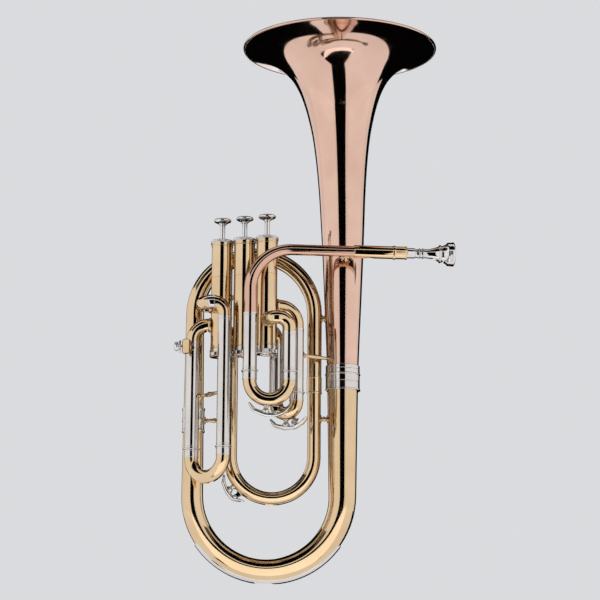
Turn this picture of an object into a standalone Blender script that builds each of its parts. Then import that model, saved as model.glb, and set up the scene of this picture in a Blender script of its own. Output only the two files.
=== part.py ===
"""Alto horn in E flat with three piston valves, bell upward. Metres, +Z up, origin under the bottom bow."""

import math

import bmesh
import bpy
from mathutils import Matrix, Vector

# Fits
MM = 0.001
GAP = 0.3 * MM
SHOULDER = 0.02 * MM
WELD = 0.001 * MM
RUN_OUT = 3.0 * MM
UP = Vector((0.0, 0.0, 1.0))
DEPTH = Vector((0.0, 1.0, 0.0))

# Facets
SLIM_SIDES = 3
BRANCH_SIDES = 4
BOW_SIDES = 5
ARC_STEPS = 3
BOW_ARC_STEPS = 6
BELL_STEPS = 28
RING_STEPS = 16
ROD_STEPS = 10
DIVOT_STEPS = 12
SEAT_STEPS = 24
SMOOTH_ANGLE = math.radians(40.0)

# Wide tubing
TUBE_WALL = 0.6 * MM
BOW_RADIUS = 76.5 * MM
BOW_LEFT_TUBE = 10.5 * MM
BOW_BOTTOM_TUBE = 12.3 * MM
BOW_RIGHT_TUBE = 16.0 * MM
BOW_LEFT_TOP = 167.5 * MM
BOW_RIGHT_TOP = 212.0 * MM
GUARD_THICKNESS = 1.2 * MM
GUARD_WIDTH = 15.0 * MM
GUARD_REACH_STEPS = 4
GUARD_END_SHARE = 0.2
GUARD_STEPS = 4
COLLAR_REACH = 12.5 * MM
COLLAR_BOTTOM = BOW_LEFT_TOP - COLLAR_REACH
COLLAR_TOP = BOW_LEFT_TOP + COLLAR_REACH
COLLAR_WALL = 0.9 * MM
BRANCH_START_TUBE = 10.2 * MM
BRANCH_ARCH_Z = 279.0 * MM
BRANCH_ARCH_TUBE = 8.3 * MM
BRANCH_ARCH_END_TUBE = 7.6 * MM
BRANCH_END_TUBE = 7.3 * MM
BRANCH_RIGHT_X = 47.2 * MM
BRANCH_END_Z = 204.2 * MM
BRANCH_FERRULE_BOTTOM = BRANCH_END_Z - 8.2 * MM
BRANCH_FERRULE_TOP = BRANCH_END_Z + 8.3 * MM
BRANCH_FERRULE_WALL = 0.7 * MM
SMALL_BOW_Z = 130.2 * MM
SMALL_BOW_LEFT_X = -38.4 * MM
SMALL_BOW_ELBOW = 10.5 * MM
BOW_CENTRE_Z = BOW_RADIUS + BOW_BOTTOM_TUBE + GAP + GUARD_THICKNESS

# Bell
BELL_WALL = 0.7 * MM
BELL_OUTLINE = (
    (294.0 * MM, 19.3 * MM),
    (377.0 * MM, 22.9 * MM),
    (444.0 * MM, 27.2 * MM),
    (488.0 * MM, 33.9 * MM),
    (520.0 * MM, 43.4 * MM),
    (545.0 * MM, 60.5 * MM),
    (558.0 * MM, 79.0 * MM),
)
BELL_NECK_TUBE = 16.4 * MM
RIM_RADIUS = 102.5 * MM
RIM_TOP = 568.6 * MM
RIM_WIDTH = 3.2 * MM
RIM_DEPTH = 2.8 * MM
RIM_EDGE = 0.8 * MM
FERRULE_REACH = 13.0 * MM
FERRULE_BOTTOM = BOW_RIGHT_TOP - FERRULE_REACH
FERRULE_TOP = BOW_RIGHT_TOP + FERRULE_REACH
FERRULE_RADIUS = 17.6 * MM
FERRULE_BEAD = 0.7 * MM
FERRULE_BEAD_HEIGHT = 1.4 * MM
FERRULE_UPPER_BEAD_Z = BOW_RIGHT_TOP + 3.5 * MM

# Slide tubing
SLIM_TUBE = 6.9 * MM
SLIM_BORE = 6.2 * MM
SLEEVE_TUBE = 7.2 * MM
SLEEVE_BORE = 6.7 * MM
LEG_TUBE = 6.2 * MM
LEG_BORE = 5.6 * MM
SLEEVE_RING = 8.2 * MM
SLEEVE_RING_HEIGHT = 1.6 * MM
SLIDE_FERRULE = 8.0 * MM
MAIN_LEG_HEADROOM = 5.6 * MM

# Valves, first valve nearest the player's mouthpiece
VALVE_PITCH = 25.0 * MM
VALVE_ROW_ANGLE = math.radians(22.0)
VALVE_2_X = -25.3 * MM
VALVE_2_Y = -31.3 * MM
CASING_TUBE = 10.8 * MM
CASING_BORE = 9.25 * MM
CASING_BOTTOM = 234.0 * MM
CASING_TOP = 350.0 * MM
CAP_WALL = 0.6 * MM
CAP_SKIRT = 2.4 * MM
BOTTOM_CAP_DEPTH = 4.0 * MM
CAP_FLOOR = 1.4 * MM
CAP_VENT = 1.5 * MM
TOP_CAP_RISE = 4.0 * MM
TOP_CAP_SHOULDER = 2.2 * MM
TOP_CAP_NECK = 4.6 * MM
STROKE = 14.0 * MM
PISTON_TUBE = 8.9 * MM
PISTON_BOTTOM = 247.6 * MM
BARREL_FLOOR = 302.0 * MM
BARREL_BORE = 7.4 * MM
BARREL_LID = 3.0 * MM
GUIDE_BOTTOM = 305.0 * MM
GUIDE_HEIGHT = 3.0 * MM
GUIDE_HUB = 5.6 * MM
GUIDE_KEY_WIDTH = 3.0 * MM
SLOT_CLEARANCE = 0.4 * MM
NOTCH_DEPTH = 0.75 * MM
SPRING_RADIUS = 5.4 * MM
SPRING_WIRE = 0.5 * MM
SPRING_TURNS = 5
SPRING_POINTS = 6
STEM_RADIUS = 2.5 * MM
STEM_CLEARANCE = 0.5 * MM
BUTTON_RADIUS = 8.9 * MM
BUTTON_MARGIN = 0.6 * MM
BUTTON_HEIGHT = 6.0 * MM
BUTTON_PROFILE = ((0.0, 0.1), (0.62, 0.0), (0.9, 0.12), (1.0, 0.35), (0.92, 0.55), (0.55, 0.8))
PASSAGE_RADIUS = 4.3 * MM
PASSAGE_BEND = 5.16 * MM
KNUCKLE_Z = 253.0 * MM
KNUCKLE_TUBE = 6.0 * MM
BRACE_Z = 291.0 * MM
BRACE_RADIUS = 1.7 * MM

# Main slide and leadpipe
MAIN_LEFT_XY = (-18.0 * MM, -60.5 * MM)
MAIN_RIGHT_XY = (21.4 * MM, -58.0 * MM)
MAIN_SLEEVE_BOTTOM = 208.0 * MM
MAIN_LEFT_SLEEVE_TOP = 268.5 * MM
MAIN_RIGHT_SLEEVE_TOP = 249.6 * MM
MAIN_PORT_Z = 264.0 * MM
MAIN_ELBOW_XY = (3.0 * MM, -63.0 * MM)
MAIN_ELBOW_BENDS = (10.7 * MM, 8.0 * MM)
LEADPIPE_Z = 335.0 * MM
LEADPIPE_BEND = 42.0 * MM
LEADPIPE_ANGLE = math.radians(6.0)
LEADPIPE_START_TUBE = 6.4 * MM
LEADPIPE_SLIM_TUBE = 5.6 * MM
LEADPIPE_END_TUBE = 5.5 * MM
LEADPIPE_BORE = 4.7 * MM
LEADPIPE_INSIDE = 26.0 * MM
RECEIVER_START = 107.0 * MM
RECEIVER_LENGTH = 54.3 * MM
RECEIVER_TUBE = 6.6 * MM
RECEIVER_BORE = 5.95 * MM
RECEIVER_BEAD = 7.3 * MM
RECEIVER_BEAD_AT = 40.2 * MM
RECEIVER_BEAD_WIDTH = 2.2 * MM
RECEIVER_BEAD_SLOPE = 0.44 * MM

# Mouthpiece, measured from the receiver's mouth along the leadpipe
MOUTHPIECE_LENGTH = 50.2 * MM
SHANK_INSIDE = 24.0 * MM
SHANK_TIP = 4.9 * MM
SHANK_TUBE = 5.45 * MM
MOUTHPIECE_BACKBORE = 3.2 * MM
MOUTHPIECE_THROAT = 2.2 * MM
MOUTHPIECE_OUTLINE = (
    (16.6 * MM, 5.3 * MM),
    (16.9 * MM, 5.8 * MM),
    (18.0 * MM, 5.8 * MM),
    (18.4 * MM, 5.0 * MM),
    (25.7 * MM, 5.9 * MM),
    (33.6 * MM, 8.4 * MM),
    (34.6 * MM, 9.3 * MM),
    (41.0 * MM, 11.8 * MM),
    (43.0 * MM, 12.6 * MM),
    (49.0 * MM, 12.6 * MM),
)
MOUTHPIECE_RIM_TOP = 11.4 * MM
MOUTHPIECE_CUP = 9.0 * MM
MOUTHPIECE_CUP_DEPTH = 19.0 * MM
MOUTHPIECE_THROAT_LENGTH = 6.0 * MM
MOUTHPIECE_CUP_SHARES = (0.35, 0.7, 0.93)
MOUTHPIECE_LIP_DROP_SHARE = 0.05

# First slide, behind the main slide
FIRST_LEFT_XY = (8.3 * MM, -22.0 * MM)
FIRST_RIGHT_XY = (29.0 * MM, -32.0 * MM)
FIRST_SLEEVE_BOTTOM = 191.0 * MM
FIRST_LEFT_SLEEVE_TOP = 243.5 * MM
FIRST_RIGHT_SLEEVE_TOP = 258.0 * MM
FIRST_LOWER_PORT_Z = 255.0 * MM
FIRST_UPPER_PORT_Z = 280.0 * MM
FIRST_LOWER_BEND = 9.5 * MM
FIRST_UPPER_BEND = 18.0 * MM
FIRST_LEG_HEADROOM = 7.5 * MM

# Second slide, straight back from its valve
SECOND_ANGLE = math.radians(69.5)
SECOND_LOWER_PORT_Z = 248.0 * MM
SECOND_UPPER_PORT_Z = 272.0 * MM
SECOND_SLEEVE_START = 13.5 * MM
SECOND_SLEEVE_END = 36.0 * MM
SECOND_LEG_ENGAGED = 21.0 * MM
SECOND_FERRULE = 4.0 * MM

# Third slide, leftmost
THIRD_LEFT_XY = (-78.7 * MM, -20.4 * MM)
THIRD_RIGHT_XY = (-44.1 * MM, -43.0 * MM)
THIRD_SLEEVE_BOTTOM = 134.0 * MM
THIRD_LEFT_SLEEVE_TOP = 246.0 * MM
THIRD_RIGHT_SLEEVE_TOP = 268.0 * MM
THIRD_LOWER_PORT_Z = 263.0 * MM
THIRD_UPPER_PORT_Z = 283.0 * MM
THIRD_LOWER_BEND = 16.0 * MM
THIRD_WRAP_X = -67.2 * MM
THIRD_WRAP_BENDS = (12.0 * MM, 10.0 * MM, 7.5 * MM)
THIRD_LEG_HEADROOM = 52.0 * MM

# Small bow outlet
OUTLET_PORT_Z = 259.0 * MM

# Water keys
NIPPLE_RADIUS = 2.3 * MM
NIPPLE_RISE = 2.4 * MM
NIPPLE_HOLE = 1.2 * MM
CORK_RADIUS = 3.0 * MM
CORK_HEIGHT = 1.8 * MM
CUP_RADIUS = 3.7 * MM
CUP_HEIGHT = 1.6 * MM
KEY_PIVOT_ALONG = 9.5 * MM
KEY_PIVOT_OUT = 12.0 * MM
KEY_HUB = 2.2 * MM
KEY_HUB_HALF = 1.9 * MM
KEY_EAR = 1.3 * MM
KEY_PIN = 0.8 * MM
KEY_PIN_HEAD = 0.5 * MM
KEY_EAR_WIDTH = 3.8 * MM
KEY_EAR_TOP = 2.0 * MM
KEY_ARM = 1.5 * MM
KEY_TAIL_ARM = 1.95 * MM
KEY_TOUCH_ARM = 1.8 * MM
KEY_ARM_TAPER_SHARE = 0.2
KEY_ARM_BENDS = (6.0 * MM, 12.0 * MM, 20.0 * MM, 12.0 * MM)
KEY_ARM_OUT = 14.2 * MM
KEY_TAIL_ALONG = 17.0 * MM
KEY_TAIL_KNEE_SHARE = 0.7
KEY_TAIL_OUT = 8.5 * MM
KEY_TOUCH_ALONG = 23.0 * MM
KEY_TOUCH_KNEE_SHARE = 0.8
KEY_TOUCH_OUT = 8.5 * MM
MAIN_KEY_TILT = math.radians(-6.0)
FIRST_KEY_TILT = math.radians(0.0)
SMALL_BOW_KEY_TILT = math.radians(-52.0)

# Lyre holder
LYRE_SIZE = (9.4 * MM, 10.0 * MM, 15.0 * MM)
LYRE_SOCKET = (5.2 * MM, 5.8 * MM)
LYRE_RIGHT_X = -77.4 * MM
LYRE_BOTTOM = 231.0 * MM
LYRE_SCREW_RADIUS = 1.6 * MM
LYRE_KNOB_RADIUS = 5.3 * MM
LYRE_KNOB_WIDTH = 5.4 * MM
LYRE_KNOB_STANDOFF = 1.6 * MM
LYRE_KNOB_BEVEL = 0.8 * MM

# Stays between the tubes
STAY_FOOT = 3.4 * MM
STAY_WAIST = 1.7 * MM
STAY_BEAD = 2.6 * MM
STAY_STEP = 1.0 * MM
STAY_FLARE = 1.5
STAY_STEPS_IN_ALL = 8
STAY_SINK = 1.5 * MM
THIRD_STAY_Z = 191.0 * MM
COLLAR_STAY_Z = 167.5 * MM
FIRST_STAY_Z = FERRULE_TOP + 6.0 * MM
BRANCH_STAY_Z = 275.0 * MM
SMALL_BOW_STAY_Z = 169.8 * MM
LEADPIPE_STAY_X = 80.0 * MM

# Colours: base, roughness, metallic
YELLOW_BRASS = ("yellow_brass", (0.86, 0.66, 0.36), 0.14, 1.0)
ROSE_BRASS = ("rose_brass", (0.86, 0.60, 0.46), 0.12, 1.0)
COPPER = ("copper_leadpipe", (0.80, 0.50, 0.38), 0.12, 1.0)
NICKEL = ("nickel_silver", (0.80, 0.78, 0.76), 0.16, 1.0)
SILVER = ("silver_plate", (0.88, 0.88, 0.88), 0.08, 1.0)
STEEL = ("spring_steel", (0.55, 0.55, 0.56), 0.30, 1.0)
CORK = ("cork", (0.62, 0.42, 0.24), 0.85, 0.0)
NYLON = ("guide_nylon", (0.86, 0.85, 0.80), 0.50, 0.0)


def collection(name):
    """A new collection in the scene."""
    group = bpy.data.collections.new(name)
    bpy.context.scene.collection.children.link(group)
    return group


def material(finish):
    """The named metal or other finish, made once."""
    name, colour, roughness, metallic = finish
    found = bpy.data.materials.get(name)
    if found:
        return found
    made = bpy.data.materials.new(name)
    made.use_nodes = True
    shader = made.node_tree.nodes["Principled BSDF"]
    shader.inputs["Base Color"].default_value = (*colour, 1.0)
    shader.inputs["Roughness"].default_value = roughness
    shader.inputs["Metallic"].default_value = metallic
    made.diffuse_color = (*colour, 1.0)
    return made


def part(name, mesh, finish):
    """A visible piece of the horn."""
    piece = bpy.data.objects.new(name, mesh)
    mesh.materials.clear()
    mesh.materials.append(material(finish))
    mesh.shade_smooth()
    mesh.set_sharp_from_angle(angle=SMOOTH_ANGLE)
    PARTS.objects.link(piece)
    return piece


def tool(name, mesh):
    """A cutter or a piece to join, which isn't itself part of the horn."""
    piece = bpy.data.objects.new(name, mesh)
    piece.hide_render = True
    piece.display_type = "WIRE"
    CUTTERS.objects.link(piece)
    return piece


def combine(piece, other, operation):
    """A Boolean of one object with another."""
    boolean = piece.modifiers.new(other.name, "BOOLEAN")
    boolean.operation = operation
    boolean.solver = "EXACT"
    boolean.object = other
    return piece


def sturdy(piece):
    """The second solver for all a piece's Booleans, where the exact one leaves its mesh open."""
    for modifier in piece.modifiers:
        if modifier.type == "BOOLEAN":
            modifier.solver = "MANIFOLD"
    return piece


def cut(piece, *cutters):
    for cutter in cutters:
        combine(piece, cutter, "DIFFERENCE")
    return piece


def join(piece, *others):
    for other in others:
        combine(piece, other, "UNION")
    return piece


def flat(xy, z):
    """A point from a place in plan and a height."""
    return Vector((xy[0], xy[1], z))


def rounded(corners, bends, steps=ARC_STEPS):
    """Straight runs through the corners, each inner corner turned by an arc of its own radius."""
    points = [corners[0]]
    for before, corner, after, bend in zip(corners, corners[1:], corners[2:], bends):
        back = (before - corner).normalized()
        ahead = (after - corner).normalized()
        turn = math.pi - back.angle(ahead)
        if turn < math.radians(1.0):
            points.append(corner)
            continue
        reach = bend * math.tan(turn / 2)
        centre = corner + (back + ahead).normalized() * (bend / math.cos(turn / 2))
        axis = ahead.cross(back).normalized()
        spoke = corner + back * reach - centre
        count = max(2, round(steps * turn / (math.pi / 2)))
        for i in range(count + 1):
            point = centre + Matrix.Rotation(turn * i / count, 3, axis) @ spoke
            if (point - points[-1]).length > WELD:
                points.append(point)
    if (corners[-1] - points[-1]).length > WELD:
        points.append(corners[-1])
    return points


def distances(points):
    """How far along the path each point is."""
    along = [0.0]
    for a, b in zip(points, points[1:]):
        along.append(along[-1] + (b - a).length)
    return along


def length(points):
    return distances(points)[-1]


def value_at(stations, distance):
    """Straight-line value between stations of (distance, value)."""
    for (d0, v0), (d1, v1) in zip(stations, stations[1:]):
        if distance <= d1:
            share = (distance - d0) / (d1 - d0)
            return v0 + (v1 - v0) * max(0.0, share)
    return stations[-1][1]


def point_at(points, distance):
    along = distances(points)
    for a, b, d0, d1 in zip(points, points[1:], along, along[1:]):
        if distance <= d1:
            return a.lerp(b, (distance - d0) / (d1 - d0))
    return points[-1].copy()


def with_radii(points, stations):
    """The path with a point at each station, and the radius at every point."""
    along = distances(points)
    marks = [d for d, _ in stations]
    clear = 10 * SHOULDER
    marks += [d for d in along if all(abs(d - m) > clear for m in marks)]
    marks.sort()
    return [point_at(points, d) for d in marks], [value_at(stations, d) for d in marks]


def steady(points, radius):
    return [(0.0, radius), (length(points), radius)]


def tube_mesh(name, points, stations, sides):
    """A closed solid of round section along a path."""
    places, radii = with_radii(points, stations)
    curve = bpy.data.curves.new(name, "CURVE")
    curve.dimensions = "3D"
    curve.bevel_depth = MM
    curve.bevel_resolution = sides
    curve.use_fill_caps = True
    spline = curve.splines.new("POLY")
    spline.points.add(len(places) - 1)
    for point, place, radius in zip(spline.points, places, radii):
        point.co = (*place, 1.0)
        point.radius = radius / MM
    guide = bpy.data.objects.new(name + "_path", curve)
    CUTTERS.objects.link(guide)
    evaluated = guide.evaluated_get(bpy.context.evaluated_depsgraph_get())
    mesh = bpy.data.meshes.new_from_object(evaluated)
    bpy.data.objects.remove(guide)
    bpy.data.curves.remove(curve)
    work = bmesh.new()
    work.from_mesh(mesh)
    bmesh.ops.remove_doubles(work, verts=work.verts, dist=WELD)
    bmesh.ops.recalc_face_normals(work, faces=work.faces)
    work.to_mesh(mesh)
    work.free()
    return mesh


def solid_tube(name, points, stations, finish, sides=SLIM_SIDES):
    return part(name, tube_mesh(name, points, stations, sides), finish)


def bore_tool(name, points, stations, sides=SLIM_SIDES, start=RUN_OUT, end=RUN_OUT):
    """A cutter along a path, run on past both its ends."""
    head = points[0] + (points[0] - points[1]).normalized() * start
    tail = points[-1] + (points[-1] - points[-2]).normalized() * end
    longer = [head, *points, tail] if start else [*points, tail]
    shifted = [(d + start, r) for d, r in stations]
    shifted[0] = (0.0, stations[0][1])
    shifted[-1] = (length(longer), stations[-1][1])
    return tool(name, tube_mesh(name, longer, shifted, sides))


def pipe(name, points, outside, inside, finish, sides=SLIM_SIDES):
    """A hollow tube, open at both ends."""
    piece = solid_tube(name, points, outside, finish, sides)
    return cut(piece, bore_tool(name + "_bore", points, inside, sides))


def turned_object(name, outline, steps, closed):
    """An outline of (radius, height) turned about Z by a Screw modifier."""
    mesh = bpy.data.meshes.new(name)
    points = [(radius, 0.0, height) for radius, height in outline]
    edges = [(i, i + 1) for i in range(len(points) - 1)]
    if closed:
        edges.append((len(points) - 1, 0))
    mesh.from_pydata(points, edges, [])
    piece = bpy.data.objects.new(name, mesh)
    screw = piece.modifiers.new("turn", "SCREW")
    screw.axis = "Z"
    screw.angle = 2 * math.pi
    screw.steps = steps
    screw.render_steps = steps
    screw.use_merge_vertices = True
    screw.merge_threshold = WELD
    screw.use_smooth_shade = False
    return piece


def aim(piece, place, direction=UP):
    """Puts a turned piece's axis along a direction."""
    piece.rotation_mode = "QUATERNION"
    piece.rotation_quaternion = UP.rotation_difference(direction.normalized())
    piece.location = place
    return piece


def turned(name, outline, finish, place, direction=UP, steps=RING_STEPS, closed=False):
    piece = turned_object(name, outline, steps, closed)
    piece.data.materials.append(material(finish))
    PARTS.objects.link(piece)
    return aim(piece, place, direction)


def turned_tool(name, outline, place, direction=UP, steps=RING_STEPS, closed=False):
    piece = turned_object(name, outline, steps, closed)
    piece.hide_render = True
    piece.display_type = "WIRE"
    CUTTERS.objects.link(piece)
    return aim(piece, place, direction)


def rod_outline(radius, bottom, top):
    return [(0.0, top), (radius, top), (radius, bottom), (0.0, bottom)]


def rod_tool(name, start, end, radius, steps=DIVOT_STEPS):
    """A round cutter or stub from one point to another."""
    reach = end - start
    return turned_tool(name, rod_outline(radius, 0.0, reach.length), start, reach, steps)


def ring_outline(outer, inner, bottom, top):
    return [(outer, top), (outer, bottom), (inner, bottom), (inner, top)]


def clear_of(radius, steps=RING_STEPS):
    """The smallest radius whose facets stay a gap away from a round inside them."""
    return (radius + GAP) / math.cos(math.pi / steps)


def block_mesh(name, size):
    """A box centred on its origin."""
    mesh = bpy.data.meshes.new(name)
    work = bmesh.new()
    bmesh.ops.create_cube(work, size=1.0, matrix=Matrix.Diagonal((*size, 1.0)))
    work.to_mesh(mesh)
    work.free()
    return mesh


def re_origin(piece, place):
    """Moves an object's origin to a point, and leaves its shape where it is."""
    piece.data.transform(Matrix.Translation(-place))
    piece.location = place
    return piece


def group(name, place, pieces):
    """An empty at a joint, with the pieces that move by it."""
    empty = bpy.data.objects.new(name, None)
    empty.location = place
    empty.empty_display_size = 10 * MM
    PARTS.objects.link(empty)
    bpy.context.view_layer.update()
    for piece in pieces:
        piece.parent = empty
        piece.matrix_parent_inverse = empty.matrix_world.inverted()
    return empty


def valve_direction(angle):
    return Vector((math.cos(angle), math.sin(angle), 0.0))


def valve_axis(number):
    """The foot of a valve's axis, at height zero."""
    row = Vector((math.cos(VALVE_ROW_ANGLE), -math.sin(VALVE_ROW_ANGLE), 0.0))
    return Vector((VALVE_2_X, VALVE_2_Y, 0.0)) + row * VALVE_PITCH * (2 - number)


def towards(number, other):
    """From one valve's axis to a point, level."""
    way = other - valve_axis(number)
    way.z = 0.0
    return way.normalized()


def casing_tool(number):
    """A cutter that seats a tube's end on a valve casing."""
    name = f"casing_seat_{number}"
    found = bpy.data.objects.get(name)
    if found:
        return found
    outline = rod_outline(CASING_TUBE + GAP, CASING_BOTTOM - STROKE, CASING_TOP + STROKE)
    return turned_tool(name, outline, valve_axis(number))


def bow_path():
    """The bottom bow's centre line, from its left end down, round and up to the bell."""
    low = BOW_CENTRE_Z - BOW_RADIUS
    corners = [
        flat((-BOW_RADIUS, 0.0), BOW_LEFT_TOP - GAP / 2),
        flat((-BOW_RADIUS, 0.0), low),
        flat((BOW_RADIUS, 0.0), low),
        flat((BOW_RADIUS, 0.0), BOW_RIGHT_TOP - GAP / 2),
    ]
    return rounded(corners, (BOW_RADIUS, BOW_RADIUS), BOW_ARC_STEPS)


def bow_stations(inset=0.0):
    """Outer radius of the bottom bow along its path, less an inset."""
    total = length(bow_path())
    right_leg = BOW_RIGHT_TOP - GAP / 2 - BOW_CENTRE_Z
    middle = total - right_leg - BOW_RADIUS * math.pi / 2
    held = BOW_LEFT_TOP - COLLAR_BOTTOM
    return [
        (0.0, BOW_LEFT_TUBE - inset),
        (held, BOW_LEFT_TUBE - inset),
        (middle, BOW_BOTTOM_TUBE - inset),
        (total, BOW_RIGHT_TUBE - inset),
    ]


def make_bottom_bow():
    return pipe("bottom_bow", bow_path(), bow_stations(), bow_stations(TUBE_WALL), YELLOW_BRASS, BOW_SIDES)


def make_bow_guard():
    """A strip along the outside of the bottom bow."""
    path = bow_path()
    low = min(range(len(path)), key=lambda i: path[i].z)
    first = low - GUARD_REACH_STEPS + 1
    last = low + GUARD_REACH_STEPS - 1
    left_end = path[first - 1].lerp(path[first], GUARD_END_SHARE)
    right_end = path[last + 1].lerp(path[last], GUARD_END_SHARE)
    spine = [left_end, *path[first:last + 1], right_end]
    start = distances(path)[first] - (path[first] - left_end).length
    sections = []
    for point, along in zip(spine, distances(spine)):
        tube = value_at(bow_stations(), start + along)
        spoke = (point - UP * BOW_CENTRE_Z).normalized()
        half = math.asin(GUARD_WIDTH / 2 / tube)
        inner = (tube + GAP) / math.cos(half / GUARD_STEPS)
        rows = []
        for radius in (inner, inner + GUARD_THICKNESS):
            turns = [half * (2 * i / GUARD_STEPS - 1) for i in range(GUARD_STEPS + 1)]
            rows.append([point + (spoke * math.cos(a) + DEPTH * math.sin(a)) * radius for a in turns])
        sections.append(rows[0] + rows[1][::-1])
    return part("bow_guard", strip_mesh("bow_guard", sections), NICKEL)


def strip_mesh(name, sections):
    """A closed solid through sections that each run out along an inner side and back along an outer one."""
    size = len(sections[0])
    points = [tuple(point) for section in sections for point in section]
    faces = []
    for row in range(len(sections) - 1):
        for i in range(size):
            j = (i + 1) % size
            faces.append((row * size + i, row * size + j, (row + 1) * size + j, (row + 1) * size + i))
    for row in (0, len(sections) - 1):
        for i in range(size // 2 - 1):
            ring = (i, i + 1, size - 2 - i, size - 1 - i)
            faces.append(tuple(row * size + k for k in ring))
    mesh = bpy.data.meshes.new(name)
    mesh.from_pydata(points, [], faces)
    work = bmesh.new()
    work.from_mesh(mesh)
    bmesh.ops.recalc_face_normals(work, faces=work.faces)
    work.to_mesh(mesh)
    work.free()
    return mesh


def make_bow_collar():
    """The nickel collar over the joint of the bottom bow and the branch."""
    inner = clear_of(max(BOW_LEFT_TUBE, BRANCH_START_TUBE))
    outline = ring_outline(inner + COLLAR_WALL, inner, COLLAR_BOTTOM, COLLAR_TOP)
    return turned("bow_collar", outline, NICKEL, flat((-BOW_RADIUS, 0.0), 0.0), closed=True)


def branch_path():
    """Up the left side, over the arch behind the valves and down the inner side."""
    arch = (BRANCH_RIGHT_X + BOW_RADIUS) / 2
    top = BRANCH_ARCH_Z + arch
    corners = [
        flat((-BOW_RADIUS, 0.0), BOW_LEFT_TOP + GAP / 2),
        flat((-BOW_RADIUS, 0.0), top),
        flat((BRANCH_RIGHT_X, 0.0), top),
        flat((BRANCH_RIGHT_X, 0.0), BRANCH_END_Z + GAP / 2),
    ]
    return rounded(corners, (arch, arch), BOW_ARC_STEPS)


def branch_stations(inset=0.0):
    total = length(branch_path())
    start = BOW_LEFT_TOP + GAP / 2
    arch_end = total - (BRANCH_ARCH_Z - BRANCH_END_Z - GAP / 2)
    ferrule = total - (BRANCH_FERRULE_TOP - BRANCH_END_Z)
    return [
        (0.0, BRANCH_START_TUBE - inset),
        (COLLAR_TOP - start, BRANCH_START_TUBE - inset),
        (BRANCH_ARCH_Z - start, BRANCH_ARCH_TUBE - inset),
        (arch_end, BRANCH_ARCH_END_TUBE - inset),
        (ferrule, BRANCH_END_TUBE - inset),
        (total, BRANCH_END_TUBE - inset),
    ]


def make_main_branch():
    inside = branch_stations(TUBE_WALL)
    return pipe("main_branch", branch_path(), branch_stations(), inside, YELLOW_BRASS, BRANCH_SIDES)


def make_branch_ferrule():
    inner = clear_of(BRANCH_END_TUBE)
    outline = ring_outline(inner + BRANCH_FERRULE_WALL, inner, BRANCH_FERRULE_BOTTOM, BRANCH_FERRULE_TOP)
    return turned("branch_ferrule", outline, YELLOW_BRASS, flat((BRANCH_RIGHT_X, 0.0), 0.0), closed=True)


def small_bow_radius():
    return (BRANCH_RIGHT_X - SMALL_BOW_LEFT_X) / 2


def small_bow_centre():
    return flat(((BRANCH_RIGHT_X + SMALL_BOW_LEFT_X) / 2, 0.0), SMALL_BOW_Z)


def make_small_bow():
    """From the inner branch down, round and up into the back of the third valve."""
    low = SMALL_BOW_Z - small_bow_radius()
    left = (SMALL_BOW_LEFT_X, 0.0)
    corners = [
        flat((BRANCH_RIGHT_X, 0.0), BRANCH_END_Z - GAP / 2),
        flat((BRANCH_RIGHT_X, 0.0), low),
        flat(left, low),
        flat(left, OUTLET_PORT_Z),
        valve_axis(3) + UP * OUTLET_PORT_Z,
    ]
    points = rounded(corners, (small_bow_radius(), small_bow_radius(), SMALL_BOW_ELBOW), BOW_ARC_STEPS)
    seated = BRANCH_END_Z - BRANCH_FERRULE_BOTTOM
    outside = [
        (0.0, BRANCH_END_TUBE),
        (seated, BRANCH_END_TUBE),
        (seated + SHOULDER, SLIM_TUBE),
        (length(points), SLIM_TUBE),
    ]
    bow = solid_tube("small_bow", points, outside, YELLOW_BRASS)
    frame = key_frame(small_bow_centre(), small_bow_radius(), Vector((1.0, 0.0, 0.0)), SMALL_BOW_KEY_TILT)
    add_key_mount(bow, "small_bow", frame)
    cut(bow, bore_tool("small_bow_bore", points, steady(points, SLIM_BORE)), casing_tool(3))
    return finish_key_mount(bow, "small_bow", frame)


def bell_outside():
    """The bell's outer outline, from its neck up to the flare's edge, as (height, radius)."""
    neck = [(BOW_RIGHT_TOP + GAP / 2, BELL_NECK_TUBE), (FERRULE_TOP, BELL_NECK_TUBE)]
    edge = [(RIM_TOP - RIM_DEPTH, RIM_RADIUS - RIM_WIDTH)]
    return [*neck, *BELL_OUTLINE, *edge]


def bell_radius(z):
    return value_at(bell_outside(), z)


def inset_outline(outline, wall):
    """The inner side of an outline of (height, radius), a wall's thickness in."""
    inner = []
    for i, (z, radius) in enumerate(outline):
        z0, r0 = outline[max(i - 1, 0)]
        z1, r1 = outline[min(i + 1, len(outline) - 1)]
        size = math.hypot(z1 - z0, r1 - r0)
        inner.append((z + wall * (r1 - r0) / size, radius - wall * (z1 - z0) / size))
    inner[0] = (outline[0][0], inner[0][1])
    return inner


def make_bell():
    outer = bell_outside()
    inner = inset_outline(outer, BELL_WALL)
    bottom = RIM_TOP - RIM_DEPTH
    rim = [
        (RIM_RADIUS - RIM_WIDTH, RIM_TOP),
        (RIM_RADIUS - RIM_EDGE, RIM_TOP),
        (RIM_RADIUS, RIM_TOP - RIM_EDGE),
        (RIM_RADIUS, bottom + RIM_EDGE),
        (RIM_RADIUS - RIM_EDGE, bottom),
    ]
    down = [(radius, z) for z, radius in reversed(outer)]
    up = [(radius, z) for z, radius in inner]
    return turned("bell", rim + down + up, ROSE_BRASS, flat((BOW_RADIUS, 0.0), 0.0), steps=BELL_STEPS, closed=True)


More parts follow.
